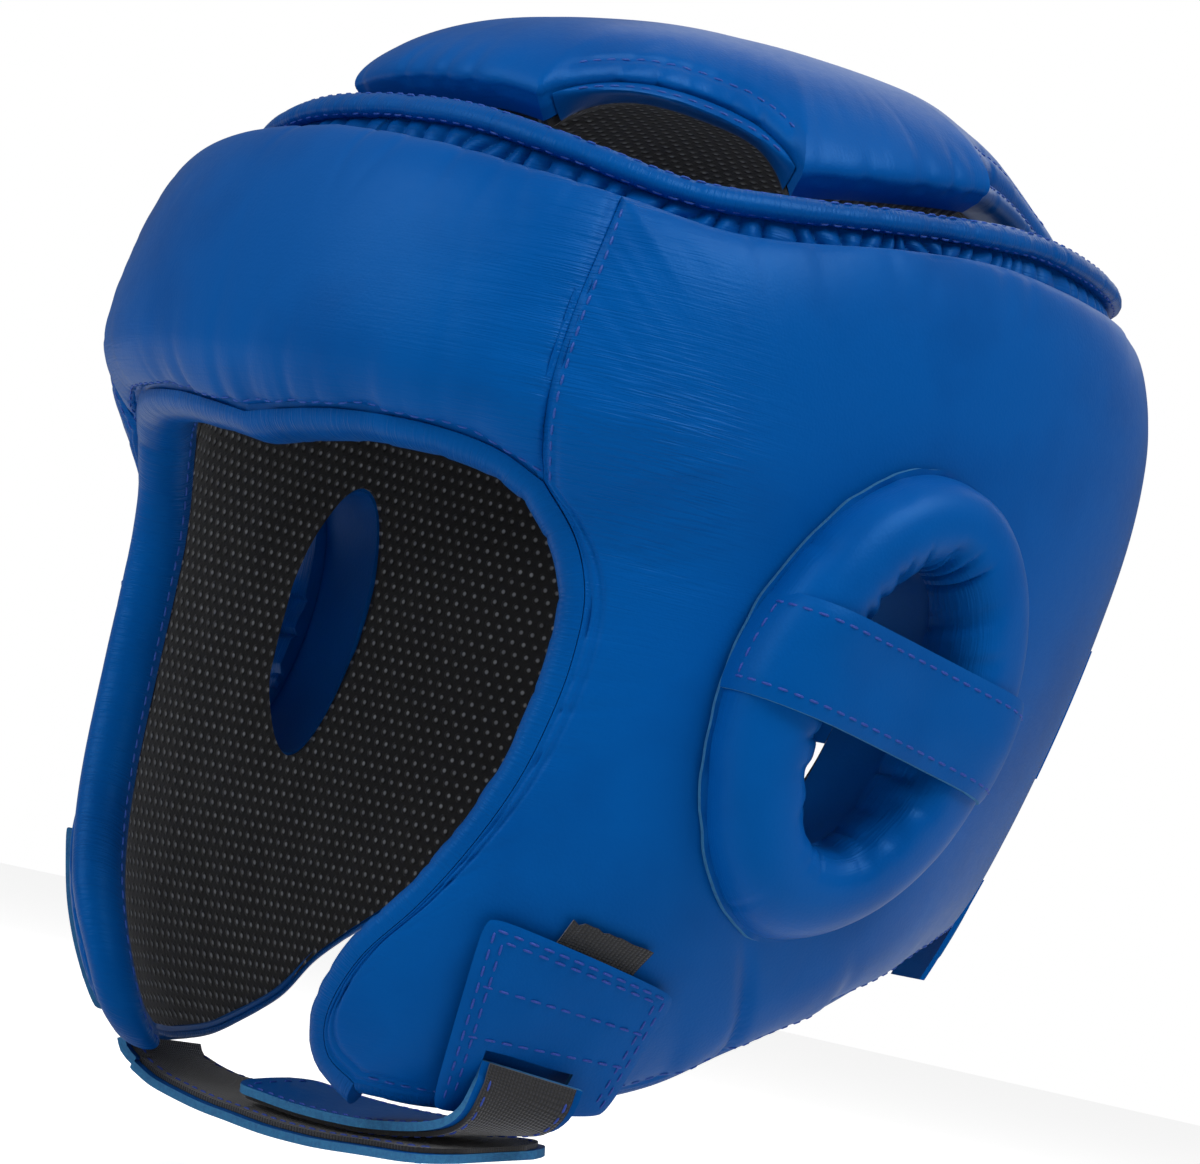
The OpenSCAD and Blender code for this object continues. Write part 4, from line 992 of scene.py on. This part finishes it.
def buildPatch(sideName, hasSlot):
    look = patches[sideName]
    fixed = mirrorPart if sideName == "right" else (lambda p: p)
    halfAngle = slotCut["width"] / 2 / perDegree
    edges = [(slotCut["angle"] + k * halfAngle - 45) / 28.5 for k in (-1, 1)] if hasSlot else [0.33, 0.66]
    u = np.concatenate([np.linspace(0, edges[0], 12)[:-1], np.linspace(edges[0], edges[1], 29)[:-1],
                        np.linspace(edges[1], 1, 14)])
    tops, bottoms = [], []
    for value in u:
        _, zTop = patchAt(look["corners"], value, 0.0)
        _, zLow = patchAt(look["corners"], value, 1.0)
        bend = 1.2 * ease(0, 1, (value - edges[0]) / (edges[1] - edges[0]))
        tops.append((slotCut["height"] + slotCut["tall"] / 2 - bend - zTop) / (zLow - zTop))
        bottoms.append((slotCut["height"] - slotCut["tall"] / 2 - bend - zTop) / (zLow - zTop))
    tops, bottoms = np.array(tops)[None], np.array(bottoms)[None]
    f = np.concatenate([np.linspace(0, 1, 31)[:-1], np.linspace(1, 2, 9)[:-1], np.linspace(2, 3, 10)])[:, None]
    v = np.where(f <= 1, tops * f, np.where(f <= 2, mix(tops, bottoms, f - 1), mix(bottoms, 1, f - 2)))
    if not hasSlot:
        v = f / 3 + 0 * tops
    # rounded corners: the outline is pulled in where both coordinates near their ends
    cu, cv = 2 * np.broadcast_to(u[None], v.shape) - 1, 2 * v - 1
    pull = 1 - 0.045 * (np.abs(cu) ** 9) * (np.abs(cv) ** 9)
    a, z = patchAt(look["corners"], (cu * pull + 1) / 2, (cv * pull + 1) / 2)
    edge = np.maximum(np.abs(cu), np.abs(cv))
    wave = 0.35 * noise(a / 6, z / 12, 91) + 0.5 * noise(a / 13, z / 20, 92) * ease(0.2, 1, edge)
    if hasSlot:
        wave = wave + 0.8 * ease(0.5, 1, -cu) * ease(-0.2, 0.9, cv)
    off = fullThickness(a, z) + look["lift"] + wave
    roundOff = 0.5 * edge ** 14
    upper, lower = skin(a, z, off + look["thick"] - roundOff), skin(a, z, off)
    uv = shellUv(a, z)
    outer, inner = gridPart(upper, False, uv), gridPart(lower, False, uv, 1)
    walls = [gridPart(np.stack([upper[k], lower[k]]), False, None, 1) for k in (0, -1)]
    walls += [gridPart(np.stack([upper[:, k], lower[:, k]]), False, None, 1) for k in (0, -1)]
    if hasSlot:
        (r0, r1), (c0, c1) = slotCut["rows"], slotCut["cols"]
        i, j = np.meshgrid(np.arange(v.shape[0] - 1), np.arange(v.shape[1] - 1), indexing="ij")
        hole = ((i >= r0) & (i < r1) & (j >= c0) & (j < c1)).reshape(-1)
        outer, inner = cutFaces(outer, ~hole), cutFaces(inner, ~hole)
        for k in (r0, r1):
            walls.append(gridPart(np.stack([upper[k, c0:c1 + 1], lower[k, c0:c1 + 1]]), False, None, 1))
        for k in (c0, c1):
            walls.append(gridPart(np.stack([upper[r0:r1 + 1, k], lower[r0:r1 + 1, k]]), False, None, 1))
    patch = joined([outer, inner] + walls)
    place(meshObject(sideName + "CheekPatch", fixed(patch), [strapLeather, rawEdge]), "root",
          [sideName + "_cheek_patch"])
    normals = upper - lower

    # nearest point of the finished patch, so each stitch follows its waves
    def sampled(us, vs):
        cols = v.shape[1]
        ru = np.interp(us, u, np.arange(cols))
        points, ns = [], []
        for x, y in zip(ru, vs):
            j = int(min(cols - 1, round(x)))
            i = int(np.argmin(np.abs(v[:, j] - y)))
            points.append(upper[i, j])
            ns.append(normals[i, j])
        return np.array(points), np.array(ns)

    def smoothLine(us, vs):
        aa, zz = patchAt(look["corners"], us, vs)
        p, n = sampled(us, vs)
        line = skin(aa, zz, fullThickness(aa, zz))
        lift = ((p - line) * n).sum(1) / np.linalg.norm(n, axis=1)
        lift = np.convolve(np.pad(lift, 4, mode="edge"), np.ones(9) / 9, "valid")
        return line + n / np.linalg.norm(n, axis=1, keepdims=True) * lift[:, None], n

    along = np.linspace(0, 1, 60)
    runs = []
    for gap in (0.055, 0.1) if hasSlot else (0.055,):
        for us, vs in ((gap + 0 * along, mix(gap, 1 - gap, along)), (1 - gap + 0 * along, mix(gap, 1 - gap, along)),
                       (mix(gap, 1 - gap, along), gap + 0 * along)):
            runs.append(fixed(stitchRun(*smoothLine(us, vs), sink=0.0)))
    rowsAt = (0.34, 0.6) if hasSlot else (0.35, 0.7, 0.93)
    for value in rowsAt:
        runs.append(fixed(stitchRun(*smoothLine(mix(0.06, 0.94, along), value + 0 * along), sink=0.0)))
    stitchObject(sideName + "PatchStitches", runs, violetThread, "root")


buildPatch("left", True)
buildPatch("right", False)

tail = {"path": [[57.5, -127.5], [58, -120], [59, -113], [60.5, -106], [61.5, -101.5]], "half": 9.5, "thick": 1.2}


def buildTail():
    path = curve(tail["path"], {"mm": 1.2, "map": False})
    w = np.linspace(-1, 1, 15)[None] * tail["half"]
    a = path[:, 0][:, None] + w / perDegree
    z = path[:, 1][:, None] - 0.12 * w
    z = z + 0.5 * noise(w / 1.2, 0, 93) * ease(0.85, 1, np.linspace(0, 1, len(path)))[:, None]
    level = fullThickness(a, z) + 0.6 + 0.6 * ease(0.8, 1, np.linspace(0, 1, len(path)))[:, None]
    upper, lower = skin(a, z, level + tail["thick"]), skin(a, z, level)
    place(meshObject("leftStrapTail", solidPart(upper, lower, False, lengthUv(upper)), [loopTape]), "root",
          ["left_strap_tail"])


buildTail()
print("cheek patches ready")

straps = {
    "outer": {"width": 38, "tapeInset": 2.0, "tip": 11, "thick": 1.8, "tape": 1.1,
              "path": [[-50.5, -50, -143.2], [-48.9, -49.3, -145.7], [-43.3, -47.2, -147.9], [-31, -46.2, -149.3],
                       [-8, -48.4, -150.8], [22, -51, -151], [58, -51.2, -148.2]],
              "across": [[0.42, -0.907, 0], [0.41, -0.91, 0], [0.33, -0.94, -0.02], [0.12, -0.98, -0.06],
                         [-0.02, -0.985, -0.11], [0, -0.985, -0.15], [0, -0.985, -0.17]]},
    "inner": {"width": 21, "tapeInset": 1.5, "tip": 7, "thick": -1.8, "tape": -1.1,
              "path": [[66.8, -54.6, -131.5], [65.6, -54.6, -136.5], [60.5, -54.6, -142], [50, -54.7, -145],
                       [30, -54.7, -147.6], [12, -54.7, -148], [-9, -54.7, -147]],
              "across": [[0.54, 0.84, 0], [0.5, 0.87, 0.05], [0.3, 0.95, 0.1], [0.1, 0.98, 0.15], [0, 0.98, 0.17],
                         [0, 0.98, 0.17], [0, 0.98, 0.17]]},
}


# Strap along a curve: leather on one face, tape on the other, the tip rounded, both long edges stitched
def buildStrap(name, look, body, leatherNode, tapeNode, tapeMaterialUsed):
    both = curve(np.hstack([look["path"], look["across"]]), {"mm": 1.3, "map": False})
    path, across = both[:, :3], both[:, 3:]
    tangent = np.gradient(path, axis=0)
    tangent /= np.linalg.norm(tangent, axis=1, keepdims=True)
    across = across - tangent * (across * tangent).sum(1, keepdims=True)
    across /= np.linalg.norm(across, axis=1, keepdims=True)
    up = np.cross(tangent, across)
    length = lengthAlong(path)
    tip = np.clip((length - (length[-1] - look["tip"])) / look["tip"], 0, 1)
    narrow = np.sqrt(np.clip(1 - 0.72 * tip ** 3, 0, 1))
    wave = 0.5 * noise(length / 26, 0, 95) * ease(4, 20, length)

    def face(inset, h, count=19):
        w = np.linspace(-1, 1, count)[None, :, None] * (look["width"] / 2 * narrow[:, None, None] - inset)
        lift = h + wave[:, None, None] * 0.8 + 0.25 * noise(length[:, None] / 15, w[..., 0] / 9, 96)[..., None] \
            * ease(3, 12, length)[:, None, None]
        return path[:, None] + across[:, None] * w + up[:, None] * lift

    outer, inner = face(0, look["thick"]), face(0, 0.0)
    uv = lengthUv(outer)
    leather = solidPart(outer, inner, False, uv, 1)
    place(meshObject(name + "Strap", leather, [strapLeather, rawEdge]), body, [leatherNode])
    tapeOut, tapeIn = face(look["tapeInset"], -look["tape"]), face(look["tapeInset"], -0.12 * np.sign(look["tape"]))
    place(meshObject(name + "Tape", solidPart(tapeOut, tapeIn, False, uv), [tapeMaterialUsed]), body, [tapeNode])
    runs = []
    sign = np.sign(look["thick"])
    for k in (1, 17):
        runs.append(stitchRun(outer[2:-3, k], up[2:-3] * sign))
        runs.append(stitchRun(tapeOut[2:-3, k], -up[2:-3] * sign))
    runs.append(stitchRun(outer[-4, 2:17], np.repeat(up[-4:-3] * sign, 15, 0)))
    stitchObject(name + "StrapStitches", runs, violetThread, body)


buildStrap("chinOuter", straps["outer"], "chin_outer", "chin_strap_outer", "chin_strap_outer_hook", hookTape)
buildStrap("chinInner", straps["inner"], "chin_inner", "chin_strap_inner", "chin_strap_inner_loop", loopTape)

rears = {
    "upper": {"height": -33, "width": 28, "tip": 9}, "lower": {"height": -84, "width": 22, "tip": 8},
    "from": 208, "to": 156, "long": 98, "hookEnd": 166, "loopLift": 0.7, "tape": 1.1, "gap": 0.3, "thick": 1.8,
}


def buildRear(level):
    look = rears[level]
    lift = rears["loopLift"] + rears["tape"] + rears["gap"] + rears["tape"]
    u = np.linspace(0, 1, 60)[:, None]
    a = mix(rears["from"], rears["to"], u)
    hooked = int(np.argmax(a[:, 0] < rears["hookEnd"]))
    length = (1 - u) * rears["long"]
    tip = np.clip(1 - length / look["tip"], 0, 1)
    narrow = np.sqrt(1 - 0.72 * tip ** 3)

    def face(inset, h, count=17):
        w = np.linspace(-1, 1, count)[None] * (look["width"] / 2 * narrow - inset)
        z = look["height"] + w
        return skin(a + 0 * w, z, fullThickness(a + 0 * w, z) + h + 0.25 * noise(u * 8, w / 9, 97) * ease(0, 0.2, u))

    outer, inner = face(0, lift + rears["thick"]), face(0, lift)
    uv = lengthUv(outer)
    body = "rear_" + level
    place(meshObject("rear" + level.title() + "Strap", solidPart(outer, inner, False, uv, 1),
                     [strapLeather, rawEdge]), body, ["rear_strap_" + level])
    tapeOut, tapeIn = face(1.5, lift - rears["tape"]), face(1.5, lift - 0.12)
    hook = solidPart(tapeOut[hooked:], tapeIn[hooked:], False, uv[hooked:])
    place(meshObject("rear" + level.title() + "Hook", hook, [hookTape]), body,
          ["rear_strap_" + level + "_hook"])
    n = outer - inner
    runs = [stitchRun(outer[2:-3, k], n[2:-3, k]) for k in (1, 15)]
    runs += [stitchRun(outer[k, 2:15], n[k, 2:15]) for k in (3, 6, -4)]
    stitchObject("rear" + level.title() + "Stitches", runs, violetThread, body)
    ap = np.linspace(161, 150, 14)[:, None]
    w = np.linspace(-1, 1, 13)[None] * (look["width"] / 2 + 1)
    z = look["height"] + w
    off = fullThickness(ap + 0 * w, z) + rears["loopLift"]
    upper, lower = skin(ap + 0 * w, z, off + rears["tape"]), skin(ap + 0 * w, z, off)
    # the tape is sewn on a leather backing, which shows from inside
    patch = solidPart(upper, lower, False, lengthUv(upper), 1, 1)
    place(meshObject("rear" + level.title() + "LoopPatch", patch, [loopTape, strapLeather]), "root",
          ["rear_loop_patch_" + level])


buildRear("upper")
buildRear("lower")
print("straps ready")

studio = {"floor": -0.168, "sky": 0.2, "backdrop": 1.0, "paper": 0.72, "key": 20, "fill": 12, "back": 3}


def addLight(name, location, size, power, aim=(0, 0, -0.03)):
    data = bpy.data.lights.new(name, "AREA")
    data.size, data.energy = size, power
    lamp = bpy.data.objects.new(name, data)
    lamp.location = location
    lamp.rotation_euler = (Vector(location) - Vector(aim)).to_track_quat("Z", "Y").to_euler()
    bpy.context.scene.collection.objects.link(lamp)


addLight("keyLight", (1.05, 0.1, 1.35), 1.0, studio["key"])
addLight("fillLight", (-0.25, -1.35, 0.9), 1.2, studio["fill"])
addLight("backLight", (-0.7, 1.2, 0.9), 1.0, studio["back"])

world = bpy.data.worlds.new("studioWhite")
world.use_nodes = True
seen = addNode(world.node_tree, "ShaderNodeLightPath").outputs["Is Camera Ray"]
level = addNode(world.node_tree, "ShaderNodeMapRange", {"Value": seen, "To Min": studio["sky"],
                                                        "To Max": studio["backdrop"]}).outputs[0]
sky = world.node_tree.nodes["Background"]
sky.inputs["Color"].default_value = (1, 1, 1, 1)
world.node_tree.links.new(level, sky.inputs["Strength"])
bpy.context.scene.world = world

floorMaterial, floorTree, floorShader = newMaterial("matWhitePaper")
place3d = addNode(floorTree, "ShaderNodeTexCoord").outputs["Object"]
paper = addNode(floorTree, "ShaderNodeTexNoise", {"Vector": place3d, "Scale": 60, "Detail": 2}).outputs["Fac"]
grain = addNode(floorTree, "ShaderNodeBump", {"Height": paper, "Distance": 0.05 / 1000, "Strength": 1.0})
floorTree.links.new(grain.outputs["Normal"], floorShader.inputs["Normal"])
floorShader.inputs["Base Color"].default_value = (0.93, 0.93, 0.93, 1)
floorShader.inputs["Roughness"].default_value = 0.9
floorShader.inputs["Emission Color"].default_value = (1, 1, 1, 1)
direct = addNode(floorTree, "ShaderNodeLightPath").outputs["Is Camera Ray"]
glow = addNode(floorTree, "ShaderNodeMath", (direct, studio["paper"]), operation="MULTIPLY").outputs[0]
floorTree.links.new(glow, floorShader.inputs["Emission Strength"])
floorMesh = bpy.data.meshes.new("paperFloor")
floorMesh.from_pydata([(-6, -6, studio["floor"]), (6, -6, studio["floor"]), (6, 6, studio["floor"]),
                       (-6, 6, studio["floor"])], [], [(0, 1, 2, 3)])
floorMesh.materials.append(floorMaterial)
floor = bpy.data.objects.new("paperFloor", floorMesh)
bpy.context.scene.collection.objects.link(floor)

view = {"azimuth": 46.45, "elevation": -3.70, "roll": 12.376, "distance": 1.1,
        "aim": (0, -0.004265, -0.034739), "lens": 155.1, "shiftX": 0.0125, "shiftY": 0.0233}


def addCamera():
    az, el, roll = (math.radians(view[k]) for k in ("azimuth", "elevation", "roll"))
    forward = Vector((-math.sin(az) * math.cos(el), math.cos(az) * math.cos(el), -math.sin(el)))
    level = Vector((math.cos(az), math.sin(az), 0))
    upright = level.cross(forward)
    right = level * math.cos(roll) + upright * math.sin(roll)
    up = upright * math.cos(roll) - level * math.sin(roll)
    data = bpy.data.cameras.new("mainView")
    data.lens, data.sensor_width = view["lens"], 36
    data.shift_x, data.shift_y = view["shiftX"], view["shiftY"]
    data.clip_start, data.clip_end = 0.05, 30
    camera = bpy.data.objects.new("mainView", data)
    bpy.context.scene.collection.objects.link(camera)
    turn = Matrix((right, up, -forward)).transposed().to_4x4()
    camera.matrix_world = Matrix.Translation(Vector(view["aim"]) - forward * view["distance"]) @ turn
    bpy.context.scene.camera = camera


addCamera()
bpy.context.scene.view_settings.view_transform = "Standard"
print("studio ready")
